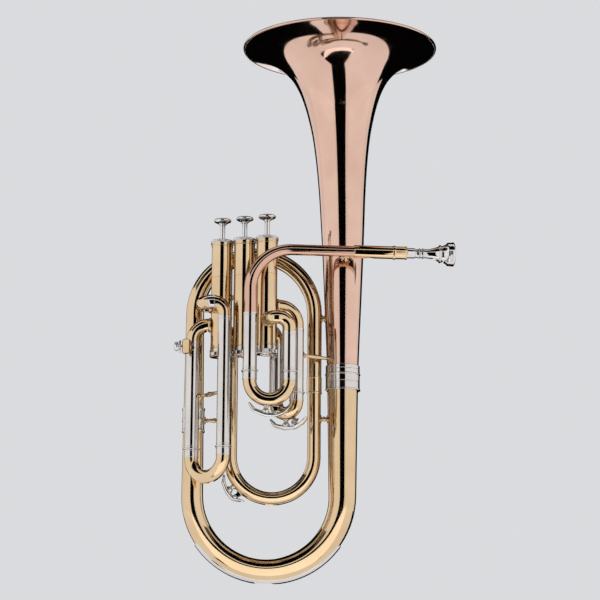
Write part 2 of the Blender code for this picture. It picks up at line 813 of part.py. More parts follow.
def make_bell_ferrule():
    steps = RING_STEPS + 4
    inner = clear_of(BELL_NECK_TUBE, steps)
    bead = FERRULE_RADIUS + FERRULE_BEAD
    upper = FERRULE_UPPER_BEAD_Z
    lower = FERRULE_BOTTOM + FERRULE_BEAD_HEIGHT
    outline = [
        (FERRULE_RADIUS, FERRULE_TOP),
        (FERRULE_RADIUS, upper + FERRULE_BEAD_HEIGHT / 2),
        (bead, upper + FERRULE_BEAD_HEIGHT / 4),
        (bead, upper - FERRULE_BEAD_HEIGHT / 4),
        (FERRULE_RADIUS, upper - FERRULE_BEAD_HEIGHT / 2),
        (FERRULE_RADIUS, lower),
        (bead, lower - FERRULE_BEAD_HEIGHT / 4),
        (bead, FERRULE_BOTTOM),
        (inner, FERRULE_BOTTOM),
        (inner, FERRULE_TOP),
    ]
    return turned("bell_ferrule", outline, NICKEL, flat((BOW_RADIUS, 0.0), 0.0), steps=steps, closed=True)


def key_frame(centre, bow_radius, along, tilt):
    """The place and axes of a water key on a bow: along it, across it and out from it."""
    out = -UP * math.cos(tilt) + along * math.sin(tilt)
    ahead = along * math.cos(tilt) + UP * math.sin(tilt)
    across = out.cross(ahead)
    place = centre + out * bow_radius
    axes = Matrix((ahead, across, out)).transposed().to_4x4()
    return Matrix.Translation(place) @ axes


def key_point(frame, along, across, out):
    return frame @ Vector((along, across, out))


def add_key_mount(bow, name, frame):
    """Joins a nipple and two hinge ears to a bow."""
    nipple = rod_tool(
        name + "_nipple",
        key_point(frame, 0.0, 0.0, SLIM_BORE),
        key_point(frame, 0.0, 0.0, SLIM_TUBE + NIPPLE_RISE),
        NIPPLE_RADIUS,
    )
    join(bow, nipple)
    height = KEY_PIVOT_OUT + KEY_EAR_TOP - SLIM_BORE / 2
    offset = KEY_HUB_HALF + GAP + KEY_EAR / 2
    for side in (-1, 1):
        mesh = block_mesh(f"{name}_ear_{side}", (KEY_EAR_WIDTH, KEY_EAR, height))
        ear = tool(mesh.name, mesh)
        middle = (KEY_PIVOT_OUT + KEY_EAR_TOP + SLIM_BORE / 2) / 2
        ear.matrix_world = frame @ Matrix.Translation((KEY_PIVOT_ALONG, side * offset, middle))
        join(bow, ear)


def pin_hole_tool(name, frame):
    reach = 3 * (KEY_HUB_HALF + KEY_EAR)
    start = key_point(frame, KEY_PIVOT_ALONG, -reach, KEY_PIVOT_OUT)
    end = key_point(frame, KEY_PIVOT_ALONG, reach, KEY_PIVOT_OUT)
    return rod_tool(name, start, end, clear_of(KEY_PIN, ROD_STEPS), ROD_STEPS)


def finish_key_mount(bow, name, frame):
    """Bores the nipple and the ears."""
    start = key_point(frame, 0.0, 0.0, SLIM_BORE / 2)
    end = key_point(frame, 0.0, 0.0, SLIM_TUBE + 2 * NIPPLE_RISE)
    hole = rod_tool(name + "_drain", start, end, NIPPLE_HOLE, ROD_STEPS)
    return cut(bow, hole, pin_hole_tool(name + "_ear_hole", frame))


def make_water_key(name, frame):
    """A lever with its cup, the cork in the cup, and the hinge pin."""
    arm = [
        key_point(frame, -KEY_TAIL_ALONG, 0.0, KEY_TAIL_OUT),
        key_point(frame, -KEY_TAIL_ALONG * KEY_TAIL_KNEE_SHARE, 0.0, (KEY_TAIL_OUT + 2 * KEY_ARM_OUT) / 3),
        key_point(frame, 0.0, 0.0, KEY_ARM_OUT),
        key_point(frame, KEY_PIVOT_ALONG, 0.0, KEY_ARM_OUT),
        key_point(frame, KEY_TOUCH_ALONG * KEY_TOUCH_KNEE_SHARE, 0.0, (KEY_TOUCH_OUT + KEY_ARM_OUT) / 2),
        key_point(frame, KEY_TOUCH_ALONG, 0.0, KEY_TOUCH_OUT),
    ]
    points = rounded(arm, KEY_ARM_BENDS, BOW_ARC_STEPS)
    total = length(points)
    taper = total * KEY_ARM_TAPER_SHARE
    stations = [(0.0, KEY_TAIL_ARM), (taper, KEY_ARM), (total - taper, KEY_ARM), (total, KEY_TOUCH_ARM)]
    lever = solid_tube(name, points, stations, NICKEL, 2)
    pivot = key_point(frame, KEY_PIVOT_ALONG, 0.0, KEY_PIVOT_OUT)
    cup_bottom = SLIM_TUBE + NIPPLE_RISE + CORK_HEIGHT + 2 * GAP
    cup = rod_tool(
        name + "_cup",
        key_point(frame, 0.0, 0.0, cup_bottom),
        key_point(frame, 0.0, 0.0, cup_bottom + CUP_HEIGHT),
        CUP_RADIUS,
    )
    hub = rod_tool(
        name + "_hub",
        key_point(frame, KEY_PIVOT_ALONG, -KEY_HUB_HALF, KEY_PIVOT_OUT),
        key_point(frame, KEY_PIVOT_ALONG, KEY_HUB_HALF, KEY_PIVOT_OUT),
        KEY_HUB,
    )
    re_origin(lever, pivot)
    join(lever, cup, hub)
    cut(lever, pin_hole_tool(name + "_hub_hole", frame))
    out = key_point(frame, 0.0, 0.0, 1.0) - key_point(frame, 0.0, 0.0, 0.0)
    cork_outline = rod_outline(CORK_RADIUS, 0.0, CORK_HEIGHT)
    cork_place = key_point(frame, 0.0, 0.0, SLIM_TUBE + NIPPLE_RISE + GAP)
    cork = turned(name + "_cork", cork_outline, CORK, cork_place, out, DIVOT_STEPS)
    across = key_point(frame, 0.0, 1.0, 0.0) - key_point(frame, 0.0, 0.0, 0.0)
    outer = KEY_HUB_HALF + GAP + KEY_EAR
    pin_outline = [
        (0.0, outer + GAP + KEY_PIN_HEAD),
        (KEY_PIN * 2, outer + GAP + KEY_PIN_HEAD),
        (KEY_PIN * 2, outer + GAP),
        (KEY_PIN, outer + GAP),
        (KEY_PIN, -outer),
        (0.0, -outer),
    ]
    pin = turned(name + "_pin", pin_outline, STEEL, pivot, across, ROD_STEPS)
    group(name + "_hinge", pivot, [lever, cork])
    return lever, cork, pin


def main_inlet():
    return towards(1, flat(MAIN_ELBOW_XY, 0.0))


def third_wrap_corner():
    return Vector((THIRD_WRAP_X, valve_axis(3).y, 0.0))


def windways(number):
    """The three ways through a piston: each a pair of (direction, height) at the casing wall."""
    if number == 1:
        inlet = (main_inlet(), MAIN_PORT_Z)
        outlet = (towards(1, valve_axis(2)), KNUCKLE_Z)
        out_loop = (towards(1, flat(FIRST_RIGHT_XY, 0.0)), FIRST_UPPER_PORT_Z)
        back_loop = (towards(1, flat(FIRST_LEFT_XY, 0.0)), FIRST_LOWER_PORT_Z)
    elif number == 2:
        inlet = (towards(2, valve_axis(1)), KNUCKLE_Z)
        outlet = (towards(2, valve_axis(3)), KNUCKLE_Z)
        out_loop = (valve_direction(SECOND_ANGLE), SECOND_UPPER_PORT_Z)
        back_loop = (valve_direction(SECOND_ANGLE), SECOND_LOWER_PORT_Z)
    else:
        inlet = (towards(3, valve_axis(2)), KNUCKLE_Z)
        outlet = (towards(3, Vector((SMALL_BOW_LEFT_X, 0.0, 0.0))), OUTLET_PORT_Z)
        out_loop = (towards(3, flat(THIRD_LEFT_XY, 0.0)), THIRD_LOWER_PORT_Z)
        back_loop = (towards(3, third_wrap_corner()), THIRD_UPPER_PORT_Z)
    return inlet, outlet, out_loop, back_loop


def port_tools(number):
    """Cutters that open a casing at its four ports."""
    tools = []
    for i, (way, z) in enumerate(windways(number)):
        start = valve_axis(number) + UP * z
        end = start + way * (CASING_TUBE + RUN_OUT)
        tools.append(rod_tool(f"port_{number}_{i}", start, end, PASSAGE_RADIUS))
    return tools


def casing_notch_tool(number):
    """A cutter for the two notches that hold the valve guide."""
    size = (
        2 * (CASING_BORE + NOTCH_DEPTH),
        GUIDE_KEY_WIDTH + 2 * GAP,
        GUIDE_HEIGHT + 2 * GAP,
    )
    notch = tool(f"casing_notch_{number}", block_mesh(f"casing_notch_{number}", size))
    notch.location = valve_axis(number) + UP * (GUIDE_BOTTOM + GUIDE_HEIGHT / 2)
    return notch


def make_casing(number):
    """An end casing: a ring in section, open at its four ports."""
    outline = ring_outline(CASING_TUBE, CASING_BORE, CASING_BOTTOM, CASING_TOP)
    casing = turned(f"valve_casing_{number}", outline, YELLOW_BRASS, valve_axis(number), closed=True)
    return cut(casing, casing_notch_tool(number), *port_tools(number))


def second_slide_line(port_z, start, end):
    way = valve_direction(SECOND_ANGLE)
    foot = valve_axis(2) + UP * port_z
    return [foot + way * start, foot + way * end]


def make_middle_casing():
    """The middle casing, with the knuckles to its neighbours and the second slide's sleeves."""
    foot = valve_axis(2)
    casing = turned("valve_casing_2", rod_outline(CASING_TUBE, CASING_BOTTOM, CASING_TOP), YELLOW_BRASS, foot)
    row_ends = [valve_axis(neighbour) + UP * KNUCKLE_Z for neighbour in (1, 3)]
    join(casing, rod_tool("knuckles", *row_ends, KNUCKLE_TUBE))
    brace_end = valve_axis(3) + UP * BRACE_Z
    join(casing, rod_tool("casing_brace", foot + UP * BRACE_Z, brace_end, BRACE_RADIUS, ROD_STEPS))
    levels = (SECOND_LOWER_PORT_Z, SECOND_UPPER_PORT_Z)
    for i, z in enumerate(levels):
        points = second_slide_line(z, CASING_BORE, SECOND_SLEEVE_END)
        ring = SECOND_SLEEVE_END - CASING_BORE - SLEEVE_RING_HEIGHT
        stations = [
            (0.0, SLEEVE_TUBE),
            (ring, SLEEVE_TUBE),
            (ring + SHOULDER, SLEEVE_RING),
            (length(points), SLEEVE_RING),
        ]
        join(casing, tool(f"second_sleeve_{i}", tube_mesh(f"second_sleeve_{i}", points, stations, SLIM_SIDES)))
    cut(casing, casing_tool(1), casing_tool(3))
    ends = rod_outline(CASING_BORE, CASING_BOTTOM - STROKE, CASING_TOP + STROKE)
    cut(casing, turned_tool("casing_bore", ends, foot), casing_notch_tool(2))
    for i, z in enumerate(levels):
        points = second_slide_line(z, SECOND_SLEEVE_START, SECOND_SLEEVE_END)
        cut(casing, bore_tool(f"second_bore_{i}", points, steady(points, SLEEVE_BORE), start=0.0))
        way = second_slide_line(z, 0.0, SECOND_SLEEVE_START + MM)
        cut(casing, rod_tool(f"second_way_{i}", *way, PASSAGE_RADIUS))
    return sturdy(cut(casing, rod_tool("knuckle_way", *row_ends, PASSAGE_RADIUS)))


def cap_radius():
    return CASING_TUBE + GAP + CAP_WALL


def make_bottom_cap(number):
    top = CASING_BOTTOM + CAP_SKIRT
    floor = CASING_BOTTOM - BOTTOM_CAP_DEPTH
    bottom = floor - CAP_FLOOR
    outline = [
        (cap_radius(), top),
        (cap_radius(), bottom + CAP_FLOOR / 2),
        (cap_radius() - CAP_FLOOR / 2, bottom),
        (CAP_VENT, bottom),
        (CAP_VENT, floor),
        (CASING_TUBE + GAP, floor),
        (CASING_TUBE + GAP, top),
    ]
    return turned(f"bottom_cap_{number}", outline, NICKEL, valve_axis(number), closed=True)


def cap_top():
    return CASING_TOP + TOP_CAP_RISE


def make_top_cap(number):
    bore = STEM_RADIUS + STEM_CLEARANCE
    outline = [
        (TOP_CAP_NECK, cap_top()),
        (cap_radius(), CASING_TOP + TOP_CAP_SHOULDER),
        (cap_radius(), CASING_TOP - CAP_SKIRT),
        (CASING_TUBE + GAP, CASING_TOP - CAP_SKIRT),
        (CASING_TUBE + GAP, CASING_TOP + GAP),
        (bore, CASING_TOP + GAP),
        (bore, cap_top()),
    ]
    return turned(f"top_cap_{number}", outline, NICKEL, valve_axis(number), closed=True)


def make_piston(number):
    """A piston with its three windways, and above them the slotted spring barrel."""
    place = valve_axis(number)
    piston = turned(f"piston_{number}", rod_outline(PISTON_TUBE, PISTON_BOTTOM, CASING_TOP), STEEL, place)
    inlet, outlet, out_loop, back_loop = windways(number)
    lifted = [(way, z + STROKE) for way, z in (inlet, outlet, out_loop, back_loop)]
    ways = [(inlet, outlet), (lifted[0], lifted[2]), (lifted[3], lifted[1])]
    for i, ((way_a, z_a), (way_b, z_b)) in enumerate(ways):
        start = place + way_a * CASING_TUBE + UP * z_a
        end = place + way_b * CASING_TUBE + UP * z_b
        middle = place + UP * (z_a + z_b) / 2
        points = rounded([start, middle, end], (PASSAGE_BEND,))
        mesh = tube_mesh(f"way_{number}_{i}", points, steady(points, PASSAGE_RADIUS), 2)
        cut(piston, tool(mesh.name, mesh))
    barrel = rod_outline(BARREL_BORE, BARREL_FLOOR, CASING_TOP - BARREL_LID)
    cut(piston, turned_tool(f"barrel_{number}", barrel, place))
    low = GUIDE_BOTTOM - SLOT_CLEARANCE
    high = GUIDE_BOTTOM + GUIDE_HEIGHT + STROKE + SLOT_CLEARANCE
    size = (3 * PISTON_TUBE, GUIDE_KEY_WIDTH + 2 * SLOT_CLEARANCE, high - low)
    slot = tool(f"barrel_slot_{number}", block_mesh(f"barrel_slot_{number}", size))
    slot.location = place + UP * (low + high) / 2
    return cut(piston, slot)


def make_valve_guide(number):
    """The guide that stays in the casing and keeps the piston from turning."""
    place = valve_axis(number) + UP * GUIDE_BOTTOM
    guide = turned(f"valve_guide_{number}", rod_outline(GUIDE_HUB, 0.0, GUIDE_HEIGHT), NYLON, place)
    reach = 2 * (CASING_BORE + NOTCH_DEPTH - GAP)
    keys = tool(f"guide_keys_{number}", block_mesh(f"guide_keys_{number}", (reach, GUIDE_KEY_WIDTH, GUIDE_HEIGHT)))
    keys.location = place + UP * GUIDE_HEIGHT / 2
    return join(guide, keys)


def make_valve_spring(number):
    """One unbroken coil from the guide up to the barrel's lid."""
    low = GUIDE_BOTTOM + GUIDE_HEIGHT + GAP + SPRING_WIRE
    high = CASING_TOP - BARREL_LID - GAP - SPRING_WIRE
    count = SPRING_TURNS * SPRING_POINTS
    points = []
    for i in range(count + 1):
        angle = 2 * math.pi * i / SPRING_POINTS
        spoke = Vector((math.cos(angle), math.sin(angle), 0.0)) * SPRING_RADIUS
        points.append(valve_axis(number) + spoke + UP * (low + (high - low) * i / count))
    return solid_tube(f"valve_spring_{number}", points, steady(points, SPRING_WIRE), STEEL, 1)


def make_finger_button(number):
    """The button and its stem, which screws on to the piston."""
    bottom = cap_top() + STROKE + BUTTON_MARGIN
    top = bottom + BUTTON_HEIGHT
    outline = [
        *[(out * BUTTON_RADIUS, top - down * BUTTON_HEIGHT) for out, down in BUTTON_PROFILE],
        (STEM_RADIUS, bottom),
        (STEM_RADIUS, CASING_TOP + GAP),
        (0.0, CASING_TOP + GAP),
    ]
    return turned(f"finger_button_{number}", outline, NICKEL, valve_axis(number))


def make_valve(number):
    casing = make_middle_casing() if number == 2 else make_casing(number)
    make_bottom_cap(number)
    make_top_cap(number)
    make_valve_guide(number)
    piston = make_piston(number)
    spring = make_valve_spring(number)
    button = make_finger_button(number)
    group(f"valve_travel_{number}", valve_axis(number) + UP * PISTON_BOTTOM, [piston, spring, button])
    return casing


def sleeve_stations(points, sleeve_length, inside=False):
    """Radii of an outer slide tube that begins with a ring and may end in a slimmer elbow."""
    total = length(points)
    wide = SLEEVE_BORE if inside else SLEEVE_TUBE
    slim = SLIM_BORE if inside else SLIM_TUBE
    mouth = wide if inside else SLEEVE_RING
    stations = [(0.0, mouth), (SLEEVE_RING_HEIGHT, mouth), (SLEEVE_RING_HEIGHT + SHOULDER, wide)]
    if sleeve_length < total - MM:
        stations += [(sleeve_length, wide), (sleeve_length + SHOULDER, slim), (total, slim)]
    else:
        stations.append((total, wide))
    return stations


def make_sleeve(name, corners, bends, sleeve_top, valve=None):
    """An outer slide tube and its elbow, seated on a valve casing."""
    points = rounded(corners, bends)
    sleeve_length = sleeve_top - corners[0].z
    outside = sleeve_stations(points, sleeve_length)
    inside = sleeve_stations(points, sleeve_length, True)
    sleeve = solid_tube(name, points, outside, YELLOW_BRASS)
    if valve:
        cut(sleeve, casing_tool(valve))
    return cut(sleeve, bore_tool(name + "_bore", points, inside))


def port(number, z):
    return valve_axis(number) + UP * z


def make_sleeves():
    make_sleeve(
        "main_sleeve_left",
        [flat(MAIN_LEFT_XY, MAIN_SLEEVE_BOTTOM), flat(MAIN_LEFT_XY, MAIN_LEFT_SLEEVE_TOP)],
        (),
        MAIN_LEFT_SLEEVE_TOP,
    )
    make_sleeve(
        "main_sleeve_right",
        [
            flat(MAIN_RIGHT_XY, MAIN_SLEEVE_BOTTOM),
            flat(MAIN_RIGHT_XY, MAIN_PORT_Z),
            flat(MAIN_ELBOW_XY, MAIN_PORT_Z),
            port(1, MAIN_PORT_Z),
        ],
        MAIN_ELBOW_BENDS,
        MAIN_RIGHT_SLEEVE_TOP,
        1,
    )
    make_sleeve(
        "first_sleeve_left",
        [
            flat(FIRST_LEFT_XY, FIRST_SLEEVE_BOTTOM),
            flat(FIRST_LEFT_XY, FIRST_LOWER_PORT_Z),
            port(1, FIRST_LOWER_PORT_Z),
        ],
        (FIRST_LOWER_BEND,),
        FIRST_LEFT_SLEEVE_TOP,
        1,
    )
    make_sleeve(
        "first_sleeve_right",
        [
            flat(FIRST_RIGHT_XY, FIRST_SLEEVE_BOTTOM),
            flat(FIRST_RIGHT_XY, FIRST_UPPER_PORT_Z),
            port(1, FIRST_UPPER_PORT_Z),
        ],
        (FIRST_UPPER_BEND,),
        FIRST_RIGHT_SLEEVE_TOP,
        1,
    )
    make_sleeve(
        "third_sleeve_left",
        [
            flat(THIRD_LEFT_XY, THIRD_SLEEVE_BOTTOM),
            flat(THIRD_LEFT_XY, THIRD_LOWER_PORT_Z),
            port(3, THIRD_LOWER_PORT_Z),
        ],
        (THIRD_LOWER_BEND,),
        THIRD_LEFT_SLEEVE_TOP,
        3,
    )
    corner = third_wrap_corner()
    make_sleeve(
        "third_sleeve_right",
        [
            flat(THIRD_RIGHT_XY, THIRD_SLEEVE_BOTTOM),
            flat(THIRD_RIGHT_XY, THIRD_UPPER_PORT_Z),
            flat((THIRD_WRAP_X, THIRD_RIGHT_XY[1]), THIRD_UPPER_PORT_Z),
            corner + UP * THIRD_UPPER_PORT_Z,
            port(3, THIRD_UPPER_PORT_Z),
        ],
        THIRD_WRAP_BENDS,
        THIRD_RIGHT_SLEEVE_TOP,
        3,
    )


def left_to_bow(left, right):
    """The way that a slide goes in: up, or for the level second slide towards its valve."""
    if abs(right.z - left.z) > WELD:
        return -valve_direction(SECOND_ANGLE)
    return UP


def make_slide(name, left, right, engaged, ferrule, key_tilt=None):
    """An inner slide: two legs, two ferrules and a bow. left and right are the middles of the sleeves' mouths."""
    radius = (right - left).length / 2
    way = (right - left).normalized()
    out = -left_to_bow(left, right)
    low = GAP + ferrule + radius
    corners = [left - out * engaged, left + out * low, right + out * low, right - out * engaged]
    points = rounded(corners, (radius, radius))
    total = length(points)
    seat = engaged + GAP
    bow = seat + ferrule
    outside = [
        (0.0, LEG_TUBE),
        (seat, LEG_TUBE),
        (seat + SHOULDER, SLEEVE_TUBE),
        (bow, SLEEVE_TUBE),
        (bow + SHOULDER, SLIM_TUBE),
        (total - bow - SHOULDER, SLIM_TUBE),
        (total - bow, SLEEVE_TUBE),
        (total - seat - SHOULDER, SLEEVE_TUBE),
        (total - seat, LEG_TUBE),
        (total, LEG_TUBE),
    ]
    slide = solid_tube(name, points, outside, YELLOW_BRASS)
    middle = (left + right) / 2
    moving = [slide]
    if key_tilt is None:
        cut(slide, bore_tool(name + "_bore", points, steady(points, LEG_BORE)))
    else:
        frame = key_frame(middle + out * (GAP + ferrule), radius, way, key_tilt)
        add_key_mount(slide, name, frame)
        cut(slide, bore_tool(name + "_bore", points, steady(points, LEG_BORE)))
        finish_key_mount(slide, name, frame)
        key_name = name.replace("_slide", "") + "_water_key"
        lever, cork, pin = make_water_key(key_name, frame)
        moving.append(pin)
        moving.append(lever.parent)
    group(name + "_travel", middle, moving)
    return slide


def make_slides():
    make_slide(
        "main_slide",
        flat(MAIN_LEFT_XY, MAIN_SLEEVE_BOTTOM),
        flat(MAIN_RIGHT_XY, MAIN_SLEEVE_BOTTOM),
        MAIN_RIGHT_SLEEVE_TOP - MAIN_LEG_HEADROOM - MAIN_SLEEVE_BOTTOM,
        SLIDE_FERRULE,
        MAIN_KEY_TILT,
    )
    make_slide(
        "first_slide",
        flat(FIRST_LEFT_XY, FIRST_SLEEVE_BOTTOM),
        flat(FIRST_RIGHT_XY, FIRST_SLEEVE_BOTTOM),
        FIRST_LEFT_SLEEVE_TOP - FIRST_LEG_HEADROOM - FIRST_SLEEVE_BOTTOM,
        SLIDE_FERRULE,
        FIRST_KEY_TILT,
    )
    make_slide(
        "second_slide",
        second_slide_line(SECOND_LOWER_PORT_Z, 0.0, SECOND_SLEEVE_END)[1],
        second_slide_line(SECOND_UPPER_PORT_Z, 0.0, SECOND_SLEEVE_END)[1],
        SECOND_LEG_ENGAGED,
        SECOND_FERRULE,
    )
    make_slide(
        "third_slide",
        flat(THIRD_LEFT_XY, THIRD_SLEEVE_BOTTOM),
        flat(THIRD_RIGHT_XY, THIRD_SLEEVE_BOTTOM),
        THIRD_LEFT_SLEEVE_TOP - THIRD_LEG_HEADROOM - THIRD_SLEEVE_BOTTOM,
        SLIDE_FERRULE,
    )


def leadpipe_way():
    return Vector((math.cos(LEADPIPE_ANGLE), math.sin(LEADPIPE_ANGLE), 0.0))


def leadpipe_point(along):
    """A point on the leadpipe's straight run, measured from above its lower leg."""
    return flat(MAIN_LEFT_XY, LEADPIPE_Z) + leadpipe_way() * along


def make_leadpipe():
    corners = [
        flat(MAIN_LEFT_XY, MAIN_LEFT_SLEEVE_TOP + GAP),
        flat(MAIN_LEFT_XY, LEADPIPE_Z),
        leadpipe_point(RECEIVER_START + LEADPIPE_INSIDE),
    ]
    points = rounded(corners, (LEADPIPE_BEND,), BOW_ARC_STEPS)
    total = length(points)
    leg = LEADPIPE_Z - LEADPIPE_BEND - MAIN_LEFT_SLEEVE_TOP - GAP
    bend_end = leg + LEADPIPE_BEND * math.pi / 2
    outside = [
        (0.0, LEADPIPE_START_TUBE),
        (leg, LEADPIPE_START_TUBE),
        (bend_end, LEADPIPE_SLIM_TUBE),
        (total - LEADPIPE_INSIDE, LEADPIPE_END_TUBE),
        (total, LEADPIPE_END_TUBE),
    ]
    return pipe("leadpipe", points, outside, steady(points, LEADPIPE_BORE), COPPER)


def make_receiver():
    top = RECEIVER_LENGTH
    bead = RECEIVER_BEAD_AT
    outline = [
        (RECEIVER_TUBE, top),
        (RECEIVER_TUBE, bead + RECEIVER_BEAD_WIDTH),
        (RECEIVER_BEAD, bead + RECEIVER_BEAD_WIDTH - RECEIVER_BEAD_SLOPE),
        (RECEIVER_BEAD, bead + RECEIVER_BEAD_SLOPE),
        (RECEIVER_TUBE, bead),
        (RECEIVER_TUBE, 0.0),
        (RECEIVER_BORE, 0.0),
        (RECEIVER_BORE, top),
    ]
    start = leadpipe_point(RECEIVER_START)
    return turned("receiver", outline, YELLOW_BRASS, start, leadpipe_way(), closed=True)


def make_mouthpiece():
    outer = [(radius, along) for along, radius in reversed(MOUTHPIECE_OUTLINE)]
    throat_top = MOUTHPIECE_LENGTH - MOUTHPIECE_CUP_DEPTH
    cup = [
        (MOUTHPIECE_BACKBORE, -SHANK_INSIDE),
        (MOUTHPIECE_THROAT, throat_top - MOUTHPIECE_THROAT_LENGTH),
        (MOUTHPIECE_THROAT, throat_top),
    ]
    for share in MOUTHPIECE_CUP_SHARES:
        radius = MOUTHPIECE_CUP * math.sqrt(1 - (1 - share) ** 2)
        rise = MOUTHPIECE_CUP_DEPTH * share * (1 - MOUTHPIECE_LIP_DROP_SHARE)
        cup.append((max(radius, MOUTHPIECE_THROAT), throat_top + rise))
    outline = [
        (MOUTHPIECE_RIM_TOP, MOUTHPIECE_LENGTH),
        *outer,
        (SHANK_TUBE, 0.0),
        (SHANK_TIP, -SHANK_INSIDE),
        *cup,
        ((MOUTHPIECE_CUP + MOUTHPIECE_RIM_TOP) / 2, MOUTHPIECE_LENGTH),
    ]
    mouth = leadpipe_point(RECEIVER_START + RECEIVER_LENGTH)
    return turned("mouthpiece", outline, SILVER, mouth, leadpipe_way(), closed=True)


def lyre_centre():
    back = THIRD_LEFT_XY[1] - SLEEVE_TUBE - GAP
    middle_z = LYRE_BOTTOM + LYRE_SIZE[2] / 2
    return Vector((LYRE_RIGHT_X - LYRE_SIZE[0] / 2, back - LYRE_SIZE[1] / 2, middle_z))


def make_lyre_holder():
    """The music clip's socket on the third slide's sleeve, and its thumbscrew."""
    centre = lyre_centre()
    box = part("lyre_box", block_mesh("lyre_box", LYRE_SIZE), YELLOW_BRASS)
    box.location = centre
    socket_mesh = block_mesh("lyre_socket", (*LYRE_SOCKET, 2 * LYRE_SIZE[2]))
    socket = tool("lyre_socket", socket_mesh)
    socket.location = centre
    face = centre - Vector((LYRE_SIZE[0] / 2, 0.0, 0.0))
    way = Vector((-1.0, 0.0, 0.0))
    wall = (LYRE_SIZE[0] - LYRE_SOCKET[0]) / 2
    hole = rod_tool(
        "lyre_screw_hole",
        face + way * wall,
        centre,
        clear_of(LYRE_SCREW_RADIUS, ROD_STEPS),
        ROD_STEPS,
    )
    cut(box, socket, hole)
    far = LYRE_KNOB_STANDOFF + LYRE_KNOB_WIDTH
    outline = [
        (0.0, far),
        (LYRE_KNOB_RADIUS - LYRE_KNOB_BEVEL, far),
        (LYRE_KNOB_RADIUS, far - LYRE_KNOB_BEVEL),
        (LYRE_KNOB_RADIUS, LYRE_KNOB_STANDOFF + LYRE_KNOB_BEVEL),
        (LYRE_KNOB_RADIUS - LYRE_KNOB_BEVEL, LYRE_KNOB_STANDOFF),
        (LYRE_SCREW_RADIUS, LYRE_KNOB_STANDOFF),
        (LYRE_SCREW_RADIUS, -wall),
        (0.0, -wall),
    ]
    turned("lyre_screw", outline, NICKEL, face, way, DIVOT_STEPS)


def make_stay(name, start, start_way, start_radius, end, end_way, end_radius):
    """A turned stay between two tubes, its feet hollowed to sit on them."""
    reach = end - start
    way = reach.normalized()
    foot = start + way * (start_radius - STAY_SINK)
    total = reach.length - start_radius - end_radius + 2 * STAY_SINK
    step = min(STAY_STEP, (total - 2 * STAY_SINK) / STAY_STEPS_IN_ALL)
    flare = STAY_SINK + step + STAY_FLARE * step
    outline = [
        (0.0, total),
        (STAY_FOOT, total),
        (STAY_FOOT, total - STAY_SINK - step),
        (STAY_WAIST, total - flare),
        (STAY_WAIST, total / 2 + step),
        (STAY_BEAD, total / 2),
        (STAY_WAIST, total / 2 - step),
        (STAY_WAIST, flare),
        (STAY_FOOT, STAY_SINK + step),
        (STAY_FOOT, 0.0),
        (0.0, 0.0),
    ]
    stay = turned(name, outline, YELLOW_BRASS, foot, way, ROD_STEPS)
    seats = []
    for i, (place, axis, radius) in enumerate(((start, start_way, start_radius), (end, end_way, end_radius))):
        half = axis.normalized() * 3 * STAY_FOOT
        seats.append(rod_tool(f"{name}_seat_{i}", place - half, place + half, clear_of(radius, SEAT_STEPS), SEAT_STEPS))
    return cut(stay, *seats)


def bow_right_radius(z):
    """Outer radius of the bottom bow's right leg at a height."""
    total = length(bow_path())
    return value_at(bow_stations(), total - (BOW_RIGHT_TOP - GAP / 2 - z))


def make_stays():
    left_leg = (-BOW_RADIUS, 0.0)
    bell_leg = (BOW_RADIUS, 0.0)
    inner_leg = (BRANCH_RIGHT_X, 0.0)
    collar = clear_of(max(BOW_LEFT_TUBE, BRANCH_START_TUBE)) + COLLAR_WALL
    make_stay(
        "third_slide_stay",
        flat(left_leg, THIRD_STAY_Z), UP, BRANCH_START_TUBE,
        flat(THIRD_RIGHT_XY, THIRD_STAY_Z), UP, SLEEVE_TUBE,
    )
    make_stay(
        "collar_stay",
        flat(left_leg, COLLAR_STAY_Z), UP, collar,
        flat((SMALL_BOW_LEFT_X, 0.0), COLLAR_STAY_Z), UP, SLIM_TUBE,
    )
    make_stay(
        "first_slide_stay",
        flat(FIRST_RIGHT_XY, FIRST_STAY_Z), UP, SLEEVE_TUBE,
        flat(bell_leg, FIRST_STAY_Z), UP, bell_radius(FIRST_STAY_Z + STAY_FOOT),
    )
    make_stay(
        "branch_stay",
        flat(inner_leg, BRANCH_STAY_Z), UP, BRANCH_ARCH_END_TUBE,
        flat(bell_leg, BRANCH_STAY_Z), UP, bell_radius(BRANCH_STAY_Z + STAY_FOOT),
    )
    make_stay(
        "small_bow_stay",
        flat(inner_leg, SMALL_BOW_STAY_Z), UP, SLIM_TUBE,
        flat(bell_leg, SMALL_BOW_STAY_Z), UP, bow_right_radius(SMALL_BOW_STAY_Z + STAY_FOOT),
    )
    along = (LEADPIPE_STAY_X - MAIN_LEFT_XY[0]) / math.cos(LEADPIPE_ANGLE)
    make_stay(
        "leadpipe_stay",
        leadpipe_point(along), leadpipe_way(), LEADPIPE_SLIM_TUBE,
        flat(bell_leg, LEADPIPE_Z), UP, bell_radius(LEADPIPE_Z + STAY_FOOT),
    )


for leftover in list(bpy.data.objects):
    bpy.data.objects.remove(leftover)
PARTS = collection("alto_horn")
CUTTERS = collection("cutters")

make_bottom_bow()
make_bow_guard()
make_bow_collar()
make_main_branch()
make_branch_ferrule()
make_small_bow()
make_bell()
make_bell_ferrule()
for valve in (1, 2, 3):
    make_valve(valve)
make_sleeves()
make_slides()
make_water_key(
    "small_bow_water_key",
    key_frame(small_bow_centre(), small_bow_radius(), Vector((1.0, 0.0, 0.0)), SMALL_BOW_KEY_TILT),
)
make_leadpipe()
make_receiver()
make_mouthpiece()
make_lyre_holder()
make_stays()
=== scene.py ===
"""The looks of an alto horn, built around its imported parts.

Lengths are in millimetres, in the horn's own frame: Z up, X from the valves to the bell, and the
valves on the -Y side. mesh_piece turns them into metres.
"""
import math

import bmesh
import bpy
from mathutils import Matrix, Vector


